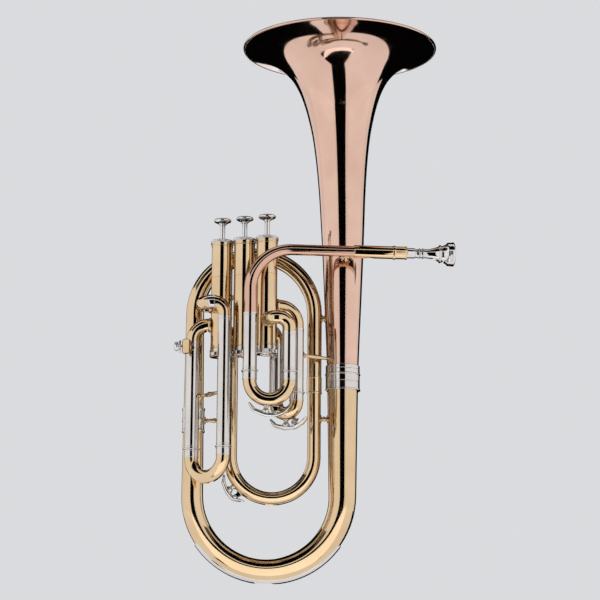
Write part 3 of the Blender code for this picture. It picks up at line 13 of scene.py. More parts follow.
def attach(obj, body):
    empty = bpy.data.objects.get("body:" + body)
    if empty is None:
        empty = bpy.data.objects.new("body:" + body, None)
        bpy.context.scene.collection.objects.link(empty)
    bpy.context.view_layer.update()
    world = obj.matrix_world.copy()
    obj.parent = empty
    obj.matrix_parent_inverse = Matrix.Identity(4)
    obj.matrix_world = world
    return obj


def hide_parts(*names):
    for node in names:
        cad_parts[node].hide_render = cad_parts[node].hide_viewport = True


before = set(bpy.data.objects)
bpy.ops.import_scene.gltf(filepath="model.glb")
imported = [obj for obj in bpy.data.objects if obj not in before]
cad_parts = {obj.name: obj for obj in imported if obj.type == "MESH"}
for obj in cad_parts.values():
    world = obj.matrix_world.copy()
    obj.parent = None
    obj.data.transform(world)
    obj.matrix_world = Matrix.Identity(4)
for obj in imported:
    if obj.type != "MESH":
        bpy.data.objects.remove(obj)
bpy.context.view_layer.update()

MM = 0.001
UP = Vector((0.0, 0.0, 1.0))
RIGHT = Vector((1.0, 0.0, 0.0))
BACK = Vector((0.0, 1.0, 0.0))

# The space between parts that move or are fitted over one another
GAP = 0.3

# Fineness of the meshes
ARC_STEP = math.radians(4.0)
TUBE_SIDES = 44
WIDE_TUBE_SIDES = 56
BOW_SIDES = 64
TURNED_STEPS = 72
FINE_STEPS = 96
BELL_STEPS = 144
CREASE = math.radians(35.0)

# Bows and branch
BOW_RADIUS = 76.5
BOW_CENTRE_Z = 90.3
BOW_LEFT_TUBE = 10.5
BOW_BOTTOM_TUBE = 12.3
BOW_RIGHT_TUBE = 16.0
BOW_LEFT_TOP = 167.5
BOW_RIGHT_TOP = 212.0
GUARD_THICKNESS = 1.2
GUARD_WIDTH = 15.0
GUARD_HALF_ANGLE = math.radians(56.5)
GUARD_ROWS = 80
GUARD_COLUMNS = 14
BELL_LEAN = 4.0
BELL_LEAN_FROM = 330.0
COLLAR_BOTTOM = 155.0
COLLAR_TOP = 180.0
COLLAR_WALL = 0.9
COLLAR_TUBE = BOW_LEFT_TUBE + GAP + COLLAR_WALL
BRANCH_START_TUBE = 10.2
BRANCH_ARCH_Z = 279.0
BRANCH_ARCH_TUBE = 8.3
BRANCH_ARCH_END_TUBE = 7.6
BRANCH_END_TUBE = 7.3
BRANCH_RIGHT_X = 47.2
BRANCH_END_Z = 204.2
BRANCH_FERRULE_BOTTOM = 196.0
BRANCH_FERRULE_TOP = 212.5
BRANCH_FERRULE_TUBE = 8.0
SMALL_BOW_Z = 130.2
SMALL_BOW_LEFT_X = -38.4
SMALL_BOW_ELBOW = 10.5
SMALL_BOW_PORT_Z = 259.0

# The upright tubes behind the valves, in plan
LEFT_LEG = (-BOW_RADIUS, 0.0)
BELL_LEG = (BOW_RADIUS, 0.0)
INNER_LEG = (BRANCH_RIGHT_X, 0.0)
SMALL_LEG = (SMALL_BOW_LEFT_X, 0.0)

# Bell, as (radius, height)
BELL_NECK_TUBE = 16.4
BELL_OUTLINE = (
    (19.3, 294.0), (21.1, 336.0), (22.9, 377.0), (24.6, 411.0), (27.2, 444.0), (30.4, 470.0),
    (33.9, 488.0), (38.3, 505.0), (43.6, 520.0), (51.0, 534.0), (60.5, 545.0), (69.0, 552.2),
    (79.0, 558.2), (90.0, 562.8),
)
RIM_RADIUS = 102.5
RIM_TOP = 568.6
RIM_WIRE = 1.4
BELL_WALL = 0.7
FERRULE_BOTTOM = 199.0
FERRULE_TOP = 225.0
FERRULE_RADIUS = 17.6
FERRULE_GROOVES = (208.0, 221.0)
FERRULE_BEAD = 214.8

# Tubes of the valve section, and the rings at a sleeve's mouth, each its distance, width and rise
SLIM_TUBE = 6.9
SLEEVE_TUBE = 7.2
OUTER_TUBE = SLEEVE_TUBE - 0.1
CUFF_TUBE = SLEEVE_TUBE - 0.05
LEG_TUBE = 6.2
SLIDE_FERRULE = 8.0
MOUTH_RINGS = ((0.7, 1.3, 1.5), (3.4, 0.7, 0.35))

# The record's material slot of each node that isn't yellow brass.
SLOTS = {"bell": "bell_brass", "leadpipe": "copper", "mouthpiece": "silver"}
SLOTS |= dict.fromkeys(("bell_ferrule", "bow_collar", "bow_guard", "lyre_screw"), "nickel")
for key in ("main_water_key", "first_water_key", "small_bow_water_key"):
    SLOTS |= {key: "nickel", key + "_pin": "steel", key + "_cork": "cork"}
for part in ("bottom_cap", "top_cap", "finger_button"):
    SLOTS |= {f"{part}_{number}": "nickel" for number in (1, 2, 3)}


def value_at(stations, distance):
    """Straight-line value between stations of (distance, value)."""
    for (d0, v0), (d1, v1) in zip(stations, stations[1:]):
        if distance <= d1:
            return v0 + (v1 - v0) * max(0.0, (distance - d0) / (d1 - d0))
    return stations[-1][1]


def flat(xy, z):
    """A point from a place in plan and a height."""
    return Vector((xy[0], xy[1], z))


def rounded(corners, bends):
    """Straight runs through the corners, each inner corner turned by an arc of its own radius."""
    points = [corners[0]]
    for before, corner, after, bend in zip(corners, corners[1:], corners[2:], bends):
        back = (before - corner).normalized()
        ahead = (after - corner).normalized()
        turn = math.pi - back.angle(ahead)
        reach = bend * math.tan(turn / 2)
        centre = corner + (back + ahead).normalized() * (bend / math.cos(turn / 2))
        axis = ahead.cross(back).normalized()
        spoke = corner + back * reach - centre
        count = max(2, round(turn / ARC_STEP))
        steps = [Matrix.Rotation(turn * i / count, 3, axis) for i in range(count + 1)]
        points += [centre + step @ spoke for step in steps]
    points.append(corners[-1])
    return [p for i, p in enumerate(points) if i == 0 or (p - points[i - 1]).length > 1e-4]


def distances(points):
    along = [0.0]
    for a, b in zip(points, points[1:]):
        along.append(along[-1] + (b - a).length)
    return along


def length(points):
    return distances(points)[-1]


def span_at(points, distance):
    """The points either side of a distance along a line, and its share of the way between them."""
    along = distances(points)
    for a, b, d0, d1 in zip(points, points[1:], along, along[1:]):
        if distance <= d1:
            return a, b, (distance - d0) / (d1 - d0)
    return points[-2], points[-1], 1.0


def point_at(points, distance):
    a, b, share = span_at(points, distance)
    return a.lerp(b, share)


def ways_along(points):
    """The way of the line at each point, from its neighbours."""
    befores, afters = [points[0], *points[:-1]], [*points[1:], points[-1]]
    return [(after - before).normalized() for before, after in zip(befores, afters)]


def circle(count):
    """The cosine and sine of count equal turns."""
    turns = [2 * math.pi * k / count for k in range(count)]
    return [(math.cos(turn), math.sin(turn)) for turn in turns]


def with_radii(points, stations):
    """The path with a point at each station, and the radius at every point."""
    along = distances(points)
    marks = [d for d, _ in stations]
    marks += [d for d in along if all(abs(d - m) > 0.05 for m in marks)]
    marks.sort()
    return [point_at(points, d) for d in marks], [value_at(stations, d) for d in marks]


def smooth_outline(outline, per_span):
    """A smooth line through points in a plane, by chord-length Hermite spans."""
    points = [Vector(p) for p in outline]
    slopes = ways_along(points)
    line = [points[0]]
    for i in range(len(points) - 1):
        a, b = points[i], points[i + 1]
        size = (b - a).length
        for k in range(1, per_span + 1):
            t = k / per_span
            start = a * (2 * t**3 - 3 * t**2 + 1) + slopes[i] * size * (t**3 - 2 * t**2 + t)
            end = b * (3 * t**2 - 2 * t**3) + slopes[i + 1] * size * (t**3 - t**2)
            line.append(start + end)
    return [(p.x, p.y) for p in line]


def eased(outline, radius):
    """An outline with its inner corners turned by small arcs."""
    points = [Vector(p) for p in outline]
    line = [points[0]]
    for before, corner, after in zip(points, points[1:], points[2:]):
        reach = min(radius, (before - corner).length * 0.45, (after - corner).length * 0.45)
        start = corner + (before - corner).normalized() * reach
        end = corner + (after - corner).normalized() * reach
        for t in (0.0, 0.33, 0.67, 1.0):
            line.append(start * (1 - t) ** 2 + corner * 2 * t * (1 - t) + end * t**2)
    line.append(points[-1])
    return [(p.x, p.y) for p in line]


def ring(outline):
    """The outline with its start added at its end, so that turned makes an open ring of it."""
    return [*outline, outline[0]]


def placed(name, data):
    """An object made of data, in the scene."""
    made = bpy.data.objects.new(name, data)
    bpy.context.scene.collection.objects.link(made)
    return made


def mesh_piece(name, points, faces, look):
    """An object from points in millimetres, smooth but for its creases."""
    mesh = bpy.data.meshes.new(name)
    mesh.from_pydata([tuple(p * MM) for p in points], [], faces)
    mesh.validate()
    work = bmesh.new()
    work.from_mesh(mesh)
    bmesh.ops.recalc_face_normals(work, faces=work.faces)
    work.to_mesh(mesh)
    work.free()
    mesh.materials.append(look)
    mesh.shade_smooth()
    mesh.set_sharp_from_angle(angle=CREASE)
    return placed(name, mesh)


def rings_to_faces(count, sides, loop=False):
    """Quads between rings of points, each ring closed. loop joins the last ring to the first."""
    faces = []
    for row in range(count if loop else count - 1):
        after = (row + 1) % count
        for i in range(sides):
            j = (i + 1) % sides
            faces.append((row * sides + i, row * sides + j, after * sides + j, after * sides + i))
    return faces


def capped_rings(count, sides):
    """The quads between rings, with a face over each end."""
    last = range((count - 1) * sides, count * sides)
    return [*rings_to_faces(count, sides), tuple(range(sides))[::-1], tuple(last)]


def tube(name, path, stations, look, sides=TUBE_SIDES):
    """A round tube along a path, capped at its ends. stations are (distance, radius)."""
    places, radii = with_radii(path, stations)
    ways = ways_along(places)
    normal = ways[0].orthogonal().normalized()
    points = []
    for i, (place, radius) in enumerate(zip(places, radii)):
        if i:
            normal = ways[i - 1].rotation_difference(ways[i]) @ normal
        other = ways[i].cross(normal)
        points += [place + (normal * cos + other * sin) * radius for cos, sin in circle(sides)]
    return mesh_piece(name, points, capped_rings(len(places), sides), look)


def pipe(name, path, radius, look, sides=TUBE_SIDES):
    """A tube of one radius."""
    return tube(name, path, [(0.0, radius), (length(path), radius)], look, sides)


def turned(name, outline, look, place, way=UP, steps=TURNED_STEPS, flutes=None):
    """An outline of (radius, height) turned about an axis, its ends closed where they leave the axis.

    flutes is (count, depth, low, high): the rim between two heights is cut with that many grooves.
    """
    turn_to = UP.rotation_difference(way.normalized()).to_matrix()
    loop = outline[0] == outline[-1]
    if loop:
        outline = outline[:-1]
    points = []
    for radius, height in outline:
        for k in range(steps):
            turn = 2 * math.pi * k / steps
            r = radius
            if flutes and flutes[2] <= height <= flutes[3]:
                r -= flutes[1] * (0.5 + 0.5 * math.cos(flutes[0] * turn))
            spot = Vector((r * math.cos(turn), r * math.sin(turn), height))
            points.append(place + turn_to @ spot)
    faces = rings_to_faces(len(outline), steps, loop)
    if not loop:
        faces += [tuple(row * steps + k for k in range(steps)) for row in (0, len(outline) - 1)]
    return mesh_piece(name, points, faces, look)


def band(name, place, way, radius, width, rise, look):
    """A narrow raised ring round a tube, its middle at place."""
    inner, outer, half = radius - 0.2, radius + rise, width / 2
    outline = [(inner, -half), (outer, -half), (outer, half), (inner, half)]
    return turned(name, ring(eased(outline, rise * 0.6)), look, place, way)


def joined(name, pieces):
    """One object from several, each keeping its material."""
    if len(pieces) > 1:
        with bpy.context.temp_override(active_object=pieces[0], selected_editable_objects=pieces):
            bpy.ops.object.join()
    pieces[0].name = name
    pieces[0].data.name = name
    return pieces[0]


def dress(node, pieces, body="horn"):
    """Stands pieces in for a CAD node, on its body."""
    look = joined(node + "_look", pieces)
    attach(look, body)
    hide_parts(node)


def feed(tree, node, **inputs):
    """Sets or links a node's inputs, named with _ for a space."""
    for name, value in inputs.items():
        socket = node.inputs[name.replace("_", " ")]
        if isinstance(value, bpy.types.NodeSocket):
            tree.links.new(value, socket)
        else:
            socket.default_value = value


def add(tree, kind, **inputs):
    """A shader node with its inputs set or linked."""
    made = tree.nodes.new("ShaderNode" + kind)
    feed(tree, made, **inputs)
    return made


def new_material(name):
    made = bpy.data.materials.new(name)
    made.use_nodes = True
    return made, made.node_tree, made.node_tree.nodes["Principled BSDF"]


def cloudy_colour(tree, low, high, scale, detail):
    """A slow cloudy mix of two colours. Gives the object's own coordinates and the mix."""
    where = add(tree, "TexCoord").outputs["Object"]
    cloud = add(tree, "TexNoise", Vector=where, Scale=scale, Detail=detail)
    ramp = add(tree, "ValToRGB", Fac=cloud.outputs["Fac"])
    for element, position, colour in zip(ramp.color_ramp.elements, (0.3, 0.7), (low, high)):
        element.position = position
        element.color = (*colour, 1.0)
    return where, ramp.outputs["Color"]


def metal(name, deep, light, gloss, haze, coat=0.0):
    """A polished metal: a slow drift of tone, a haze of handling and very fine polishing marks."""
    made, tree, shader = new_material(name)
    where, colour = cloudy_colour(tree, deep, light, 28.0, 3.0)
    smear = add(tree, "TexNoise", Vector=where, Scale=70.0, Detail=5.0, Roughness=0.65).outputs["Fac"]
    rough = add(tree, "MapRange", Value=smear, From_Min=0.35, From_Max=0.75)
    feed(tree, rough, To_Min=gloss, To_Max=gloss + haze)
    marks = add(tree, "TexNoise", Vector=where, Scale=220.0, Detail=2.0).outputs["Fac"]
    bump = add(tree, "Bump", Strength=0.004, Distance=0.0004, Height=marks).outputs["Normal"]
    feed(tree, shader, Metallic=1.0, Base_Color=colour, Roughness=rough.outputs["Result"], Normal=bump)
    feed(tree, shader, Coat_Weight=coat, Coat_Roughness=0.05)
    return made


def soft_stuff(name, low, high, roughness, scale, bump_strength):
    """Cork or nylon: a speckled, dull material with a grain."""
    made, tree, shader = new_material(name)
    where, colour = cloudy_colour(tree, low, high, scale, 6.0)
    grain = add(tree, "TexVoronoi", Vector=where, Scale=scale * 1.6).outputs["Distance"]
    bump = add(tree, "Bump", Strength=bump_strength, Distance=0.0004, Height=grain).outputs["Normal"]
    feed(tree, shader, Base_Color=colour, Roughness=roughness, Normal=bump)
    return made


ROSE = metal("rose_brass", (0.64, 0.41, 0.32), (0.71, 0.48, 0.38), 0.05, 0.05, 0.3)
BRASS = metal("yellow_brass", (0.63, 0.45, 0.26), (0.70, 0.52, 0.32), 0.05, 0.05, 0.3)
COPPER = metal("copper_leadpipe", (0.60, 0.36, 0.26), (0.68, 0.43, 0.32), 0.05, 0.05, 0.3)
GOLD = metal("receiver_gold", (0.74, 0.52, 0.30), (0.80, 0.59, 0.36), 0.05, 0.05, 0.3)
NICKEL = metal("nickel_silver", (0.60, 0.56, 0.53), (0.68, 0.64, 0.61), 0.06, 0.05)
SILVER = metal("silver_plate", (0.62, 0.61, 0.60), (0.71, 0.70, 0.69), 0.04, 0.05)
STEEL = metal("brushed_monel", (0.50, 0.50, 0.49), (0.60, 0.59, 0.58), 0.18, 0.12)
CORK = soft_stuff("cork", (0.42, 0.25, 0.13), (0.62, 0.42, 0.25), 0.85, 900.0, 0.5)
NYLON = soft_stuff("guide_nylon", (0.80, 0.79, 0.74), (0.88, 0.87, 0.82), 0.45, 400.0, 0.1)


def bow_path():
    corners = [
        flat(LEFT_LEG, BOW_LEFT_TOP - GAP / 2),
        flat(LEFT_LEG, BOW_CENTRE_Z - BOW_RADIUS),
        flat(BELL_LEG, BOW_CENTRE_Z - BOW_RADIUS),
        flat(BELL_LEG, BOW_RIGHT_TOP),
    ]
    return rounded(corners, (BOW_RADIUS, BOW_RADIUS))


def bow_middle(total):
    """How far along the bow its lowest place lies."""
    return total - (BOW_RIGHT_TOP - BOW_CENTRE_Z) - BOW_RADIUS * math.pi / 2


def bow_stations():
    total = length(bow_path())
    held = BOW_LEFT_TOP - COLLAR_BOTTOM
    return [
        (0.0, BOW_LEFT_TUBE),
        (held, BOW_LEFT_TUBE),
        (bow_middle(total), BOW_BOTTOM_TUBE),
        (total, BOW_RIGHT_TUBE),
    ]


def bow_radius_at(distance):
    return value_at(bow_stations(), distance)


def make_bottom_bow():
    bow = tube("bow", bow_path(), bow_stations(), BRASS, BOW_SIDES)
    dress("bottom_bow", [bow])


def make_bow_guard():
    """A thin nickel strip with rounded edges along the outside of the bow."""
    path = bow_path()
    middle = bow_middle(length(path))
    reach = BOW_RADIUS * GUARD_HALF_ANGLE
    points, faces = [], []
    for i in range(GUARD_ROWS + 1):
        share = 2 * i / GUARD_ROWS - 1
        place = point_at(path, middle + reach * share)
        spoke = (place - UP * BOW_CENTRE_Z).normalized()
        radius = bow_radius_at(middle + reach * share)
        end = min(1.0, (1 - abs(share)) * reach / GUARD_WIDTH * 2)
        half = math.asin(GUARD_WIDTH / 2 / radius) * math.sqrt(max(0.02, 1 - (1 - end) ** 2))
        for k in range(GUARD_COLUMNS + 1):
            v = 2 * k / GUARD_COLUMNS - 1
            lift = GUARD_THICKNESS * (1 - abs(v) ** 6) * min(1.0, end * 4) + 0.02
            angle = half * v
            points.append(place + (spoke * math.cos(angle) + BACK * math.sin(angle)) * (radius + lift))
    row = GUARD_COLUMNS + 1
    for i in range(GUARD_ROWS):
        for a in range(i * row, i * row + GUARD_COLUMNS):
            faces.append((a, a + row, a + row + 1, a + 1))
    dress("bow_guard", [mesh_piece("guard", points, faces, NICKEL)])


def make_bow_collar():
    """The long nickel ferrule between the bow and the branch, in three steps."""
    low, high = COLLAR_BOTTOM, COLLAR_TOP
    edge, step = COLLAR_TUBE + 0.1, COLLAR_TUBE - 0.45
    outline = [
        (BOW_LEFT_TUBE, low), (edge, low), (edge, low + 2.2), (step, low + 2.6),
        (step, low + 11.0), (COLLAR_TUBE, low + 11.3), (COLLAR_TUBE, low + 13.8),
        (step, low + 14.1), (step, high - 2.6), (edge, high - 2.2), (edge, high),
        (BRANCH_START_TUBE - 0.2, high),
    ]
    collar = turned("collar", ring(eased(outline, 0.3)), NICKEL, RIGHT * -BOW_RADIUS)
    dress("bow_collar", [collar])


def branch_path():
    """Up the left side, over the arch behind the valves and down the inner side."""
    arch = (BRANCH_RIGHT_X + BOW_RADIUS) / 2
    corners = [
        flat(LEFT_LEG, BOW_LEFT_TOP),
        flat(LEFT_LEG, BRANCH_ARCH_Z + arch),
        flat(INNER_LEG, BRANCH_ARCH_Z + arch),
        flat(INNER_LEG, BRANCH_END_Z),
    ]
    return rounded(corners, (arch, arch))


def make_main_branch():
    path = branch_path()
    total = length(path)
    leg = BRANCH_ARCH_Z - BRANCH_END_Z
    stations = [
        (0.0, BRANCH_START_TUBE),
        (COLLAR_TOP - BOW_LEFT_TOP, BRANCH_START_TUBE),
        ((total + BRANCH_ARCH_Z - BOW_LEFT_TOP) / 2 - leg / 2, BRANCH_ARCH_TUBE),
        (total - leg, BRANCH_ARCH_END_TUBE),
        (total, BRANCH_END_TUBE),
    ]
    dress("main_branch", [tube("branch", path, stations, BRASS, WIDE_TUBE_SIDES)])


def make_branch_ferrule():
    low, high = BRANCH_FERRULE_BOTTOM, BRANCH_FERRULE_TOP
    inner, outer = BRANCH_END_TUBE - 0.1, BRANCH_FERRULE_TUBE
    outline = [
        (inner, low), (outer, low), (outer, low + 1.1), (outer - 0.3, low + 1.4),
        (outer - 0.3, high - 1.0), (outer - 0.1, high - 0.8), (outer - 0.1, high), (inner, high),
    ]
    ferrule = turned("ferrule", ring(eased(outline, 0.25)), GOLD, RIGHT * BRANCH_RIGHT_X)
    dress("branch_ferrule", [ferrule])


def make_bell():
    """The bell from its ferrule to its rolled rim, with its inner side."""
    edge = RIM_RADIUS - RIM_WIRE * 1.6
    profile = [(BELL_NECK_TUBE, BOW_RIGHT_TOP), (BELL_NECK_TUBE, FERRULE_TOP), *BELL_OUTLINE]
    line = smooth_outline([*profile, (edge, RIM_TOP - RIM_WIRE * 2 + 0.2)], 7)
    wire_z = RIM_TOP - RIM_WIRE
    wire_r = RIM_RADIUS - RIM_WIRE
    rim = []
    for k in range(15):
        angle = math.radians(-140 + 300 * k / 14)
        rim.append((wire_r + RIM_WIRE * math.cos(angle), wire_z + RIM_WIRE * math.sin(angle)))
    inner = [(radius - BELL_WALL, height + BELL_WALL * 0.7) for radius, height in reversed(line[3:])]
    outline = ring([*line, *rim, *inner])
    bell = turned("bell_shell", outline, ROSE, RIGHT * BOW_RADIUS, steps=BELL_STEPS)
    for vertex in bell.data.vertices:
        rise = max(0.0, vertex.co.z / MM - BELL_LEAN_FROM) / (RIM_TOP - BELL_LEAN_FROM)
        vertex.co.x -= BELL_LEAN * rise ** 1.3 * MM
    dress("bell", [bell])


def make_bell_ferrule():
    """The nickel ferrule between the bow and the bell, with two beads and two fine grooves."""
    r, low, high = FERRULE_RADIUS, FERRULE_BOTTOM, FERRULE_TOP
    outline = [(BOW_RIGHT_TUBE - 0.3, low), (r + 0.6, low), (r + 0.7, low + 1.2), (r, low + 1.5)]
    groove = ((0.0, -0.35), (-0.3, -0.2), (-0.3, 0.2), (0.0, 0.35))
    cuts = [[(r + depth, z + along) for depth, along in groove] for z in FERRULE_GROOVES]
    bead = [
        (r, FERRULE_BEAD), (r + 0.7, FERRULE_BEAD + 0.3), (r + 0.7, FERRULE_BEAD + 1.3),
        (r, FERRULE_BEAD + 1.6),
    ]
    outline += [*cuts[0], *bead, *cuts[1]]
    outline += [(r, high - 0.4), (r - 0.4, high), (BELL_NECK_TUBE - 0.2, high)]
    ferrule = turned("ferrule", ring(eased(outline, 0.2)), NICKEL, RIGHT * BOW_RADIUS, steps=FINE_STEPS)
    dress("bell_ferrule", [ferrule])


make_bottom_bow()
make_bow_guard()
make_bow_collar()
make_main_branch()
make_branch_ferrule()
make_bell()
make_bell_ferrule()


# Valve section
VALVES = {1: (-2.12, -40.67), 2: (-25.3, -31.3), 3: (-48.48, -21.94)}
CASING_TUBE = 10.8
CASING_BORE = 9.25
CASING_REACH = 10.0
SEAT_DEPTH = 0.8
SEAT_STEP = 0.1
CASING_BOTTOM = 234.0
CASING_SEAM = 312.0
CASING_TOP = 350.0
CAP_RADIUS = 11.7
CAP_SKIRT = 2.4
CAP_FLUTES = 60
CAP_STEPS = 240
STEM_RADIUS = 2.5
BUTTON_BOTTOM = 368.6
BUTTON_TOP = 374.6
BUTTON_RADIUS = 8.9
KNUCKLE_Z = 253.0
KNUCKLE_TUBE = 6.0
BRACE_Z = 291.0
BRACE_TUBE = 1.7
SECOND_WAY = Vector((math.cos(math.radians(69.5)), math.sin(math.radians(69.5)), 0.0))
SECOND_LEVELS = (248.0, 272.0)
SECOND_SLEEVE_END = 36.0
SECOND_FERRULE = 4.0
SECOND_ENGAGED = 21.0
MAIN_LEFT_XY = (-18.0, -60.5)
MAIN_RIGHT_XY = (21.4, -58.0)
MAIN_BOTTOM = 208.0
MAIN_ENGAGED = 36.0
MAIN_PORT_Z = 264.0
MAIN_SLEEVE_TOP = 268.5
MAIN_CORNER = Vector((3.0, -63.0, MAIN_PORT_Z))
FIRST_LEFT_XY = (8.3, -22.0)
FIRST_RIGHT_XY = (29.0, -32.0)
FIRST_BOTTOM = 191.0
FIRST_ENGAGED = 45.0
FIRST_LOW_PORT_Z = 255.0
FIRST_HIGH_PORT_Z = 280.0
THIRD_LEFT_XY = (-77.2, -20.4)
THIRD_RIGHT_XY = (-44.1, -43.0)
THIRD_BOTTOM = 134.0
THIRD_ENGAGED = 60.0
THIRD_LOW_PORT_Z = 263.0
THIRD_HIGH_PORT_Z = 283.0
THIRD_WRAP_X = -67.2
WRAP_BENDS = (12.0, 10.0, 7.5)
THIRD_WRAP_JOINT_X = -57.0
LEADPIPE_START = 268.8
LEADPIPE_Z = 335.0
LEADPIPE_LENGTH = 133.0
LEADPIPE_MOUTH_TUBE = 5.5
LEADPIPE_STAY_TUBE = 5.6
LEADPIPE_STAY_X = 80.0
LEADPIPE_BEND = 42.0
LEADPIPE_WAY = Vector((math.cos(math.radians(6.0)), math.sin(math.radians(6.0)), 0.0))
RECEIVER_START = 105.3
RECEIVER_LENGTH = 54.3
MOUTHPIECE_SEAT = 1.2
SOCKET = Vector((-83.2, -32.9, 238.5))
SADDLE_RADIUS = 4.2
SADDLE_THICKNESS = 0.7


def valve(number, z=0.0):
    return flat(VALVES[number], z)


def towards(number, xy):
    """From a valve's axis to a place in plan, level."""
    return (flat(xy, 0.0) - valve(number)).normalized()


def seated(path, number):
    """A path to a valve's axis, cut short just inside its casing."""
    run = path[-1] - path[-2]
    way, step, end = run.normalized(), 0.0, path[-1]
    while step < run.length and (end - valve(number)).to_2d().length < CASING_TUBE - SEAT_DEPTH:
        step += SEAT_STEP
        end = path[-1] - way * step
    return [*path[:-1], end]


def port_ring(name, path, radius):
    """The small flange where a tube is soldered to its casing."""
    way = (path[-2] - path[-1]).normalized()
    inner, outer = radius - 0.3, radius + 0.9
    outline = [(inner, 0.2), (outer, 0.2), (outer, 1.6), (radius + 0.2, 2.6), (inner, 2.8)]
    return turned(name, ring(eased(outline, 0.35)), BRASS, path[-1], way)


def ring_at(name, path, distance, radius, width, rise, look):
    a, b, share = span_at(path, distance)
    return band(name, a.lerp(b, share), (b - a).normalized(), radius, width, rise, look)


def outer_pieces(name, path, ends, rings):
    """A nickel outer slide tube with raised rings."""
    pieces = [pipe(name + "_outer", ends, OUTER_TUBE, NICKEL)]
    for place, width, rise in rings:
        pieces.append(ring_at(f"{name}_ring_{place:.0f}", path, place, OUTER_TUBE, width, rise, NICKEL))
    return pieces


def sleeve_pieces(name, path, top, seat=True):
    """An outer slide tube with its mouth ring. A seated one has a brass elbow on to its casing."""
    straight = min(top - path[0].z, length(path))
    ends = [point_at(path, d) for d in (0.0, straight)]
    rings = (*MOUTH_RINGS, (straight - 1.0, 2.0, 0.25), (straight - 3.2, 0.5, 0.3))
    pieces = outer_pieces(name, path, ends, rings)
    if seat:
        rest = [point_at(path, straight - 1.0)]
        rest += [p for p, d in zip(path, distances(path)) if d > straight]
        pieces.append(pipe(name + "_elbow", rest, SLIM_TUBE, BRASS))
        pieces.append(port_ring(name + "_port", path, SLIM_TUBE))
    return pieces


def wrap_ferrule(path):
    """The short ferrule on the third sleeve's wrap, with a ring at each end."""
    joint = next(d for p, d in zip(path, distances(path)) if p.x < THIRD_WRAP_JOINT_X)
    low, high = joint - 3.0, joint + 3.4
    run = [point_at(path, low + 0.4 * k) for k in range(17)]
    pieces = [pipe("third_wrap_ferrule", run, SLEEVE_TUBE + 0.05, NICKEL)]
    for spot in (low + 0.4, high - 0.4):
        pieces.append(ring_at("third_wrap_ring", path, spot, SLEEVE_TUBE, 0.9, 0.35, NICKEL))
    return pieces


def make_sleeves():
    """Each sleeve from its foot up and, all but the left main one, by its corners into its valve."""
    path = [flat(MAIN_LEFT_XY, z) for z in (MAIN_BOTTOM, MAIN_SLEEVE_TOP)]
    dress("main_sleeve_left", sleeve_pieces("main_left", path, MAIN_SLEEVE_TOP, seat=False))
    wrap = [Vector((THIRD_WRAP_X, y, THIRD_HIGH_PORT_Z)) for y in (THIRD_RIGHT_XY[1], VALVES[3][1])]
    for slide, side, xy, foot, port, between, bends, top, number in (
        ("main", "right", MAIN_RIGHT_XY, MAIN_BOTTOM, MAIN_PORT_Z, [MAIN_CORNER], (10.7, 8.0), 249.6, 1),
        ("first", "left", FIRST_LEFT_XY, FIRST_BOTTOM, FIRST_LOW_PORT_Z, [], (9.5,), 243.5, 1),
        ("first", "right", FIRST_RIGHT_XY, FIRST_BOTTOM, FIRST_HIGH_PORT_Z, [], (18.0,), 258.0, 1),
        ("third", "left", THIRD_LEFT_XY, THIRD_BOTTOM, THIRD_LOW_PORT_Z, [], (16.0,), 246.0, 3),
        ("third", "right", THIRD_RIGHT_XY, THIRD_BOTTOM, THIRD_HIGH_PORT_Z, wrap, WRAP_BENDS, 268.0, 3),
    ):
        corners = [flat(xy, foot), flat(xy, port), *between, valve(number, port)]
        path = seated(rounded(corners, bends), number)
        pieces = sleeve_pieces(f"{slide}_{side}", path, top)
        if between is wrap:
            pieces += wrap_ferrule(path)
        dress(f"{slide}_sleeve_{side}", pieces)


def make_casing_body(number):
    """A casing with a fine seam under its upper part and trim rings by its caps."""
    r, low, seam, high = CASING_TUBE, CASING_BOTTOM, CASING_SEAM, CASING_TOP
    raised, sunk = r + 0.35, r - 0.25
    outline = [
        (CASING_BORE, low), (r, low), (r, low + 4.0), (raised, low + 4.3), (raised, low + 5.3),
        (r, low + 5.6), (r, seam - 0.3), (sunk, seam - 0.1), (sunk, seam + 0.1), (r, seam + 0.3),
        (r, high - 5.4), (raised, high - 5.1), (raised, high - 4.3), (r, high - 4.0), (r, high),
        (CASING_BORE, high),
    ]
    return turned(f"casing_{number}", ring(outline), BRASS, valve(number))


def second_sleeve(level):
    """A sleeve of the second slide, level, with its port ring."""
    name = f"second_{level:.0f}"
    path = [valve(2, level) + SECOND_WAY * along for along in (SECOND_SLEEVE_END, CASING_REACH)]
    return [*outer_pieces(name, path, path, MOUTH_RINGS), port_ring(name + "_port", path, OUTER_TUBE)]


def make_casings():
    """The casings. The second one carries the knuckles, the brace and its slide's sleeves."""
    for number in (1, 3):
        dress(f"valve_casing_{number}", [make_casing_body(number)])
    pieces = [make_casing_body(2)]
    for other in (1, 3):
        way = towards(2, VALVES[other]) * CASING_REACH
        near, far = valve(2, KNUCKLE_Z) + way, valve(other, KNUCKLE_Z) - way
        pieces.append(pipe(f"knuckle_{other}", [near, far], KNUCKLE_TUBE, BRASS))
        pieces.append(port_ring(f"knuckle_near_{other}", [far, near], KNUCKLE_TUBE))
    way = towards(2, VALVES[3])
    near, far = valve(2, BRACE_Z) + way * 10.5, valve(3, BRACE_Z) - way * 10.9
    outline = [(3.2, 0.0), (3.2, 0.5), (1.4, 1.0), (BRACE_TUBE - 0.3, 1.3), (BRACE_TUBE, 1.6)]
    reach = (far - near).length
    mirrored = [(radius, reach - along) for radius, along in reversed(outline)]
    pieces.append(turned("casing_brace", [*outline, *mirrored], BRASS, near, way))
    for level in SECOND_LEVELS:
        pieces += second_sleeve(level)
    dress("valve_casing_2", pieces)


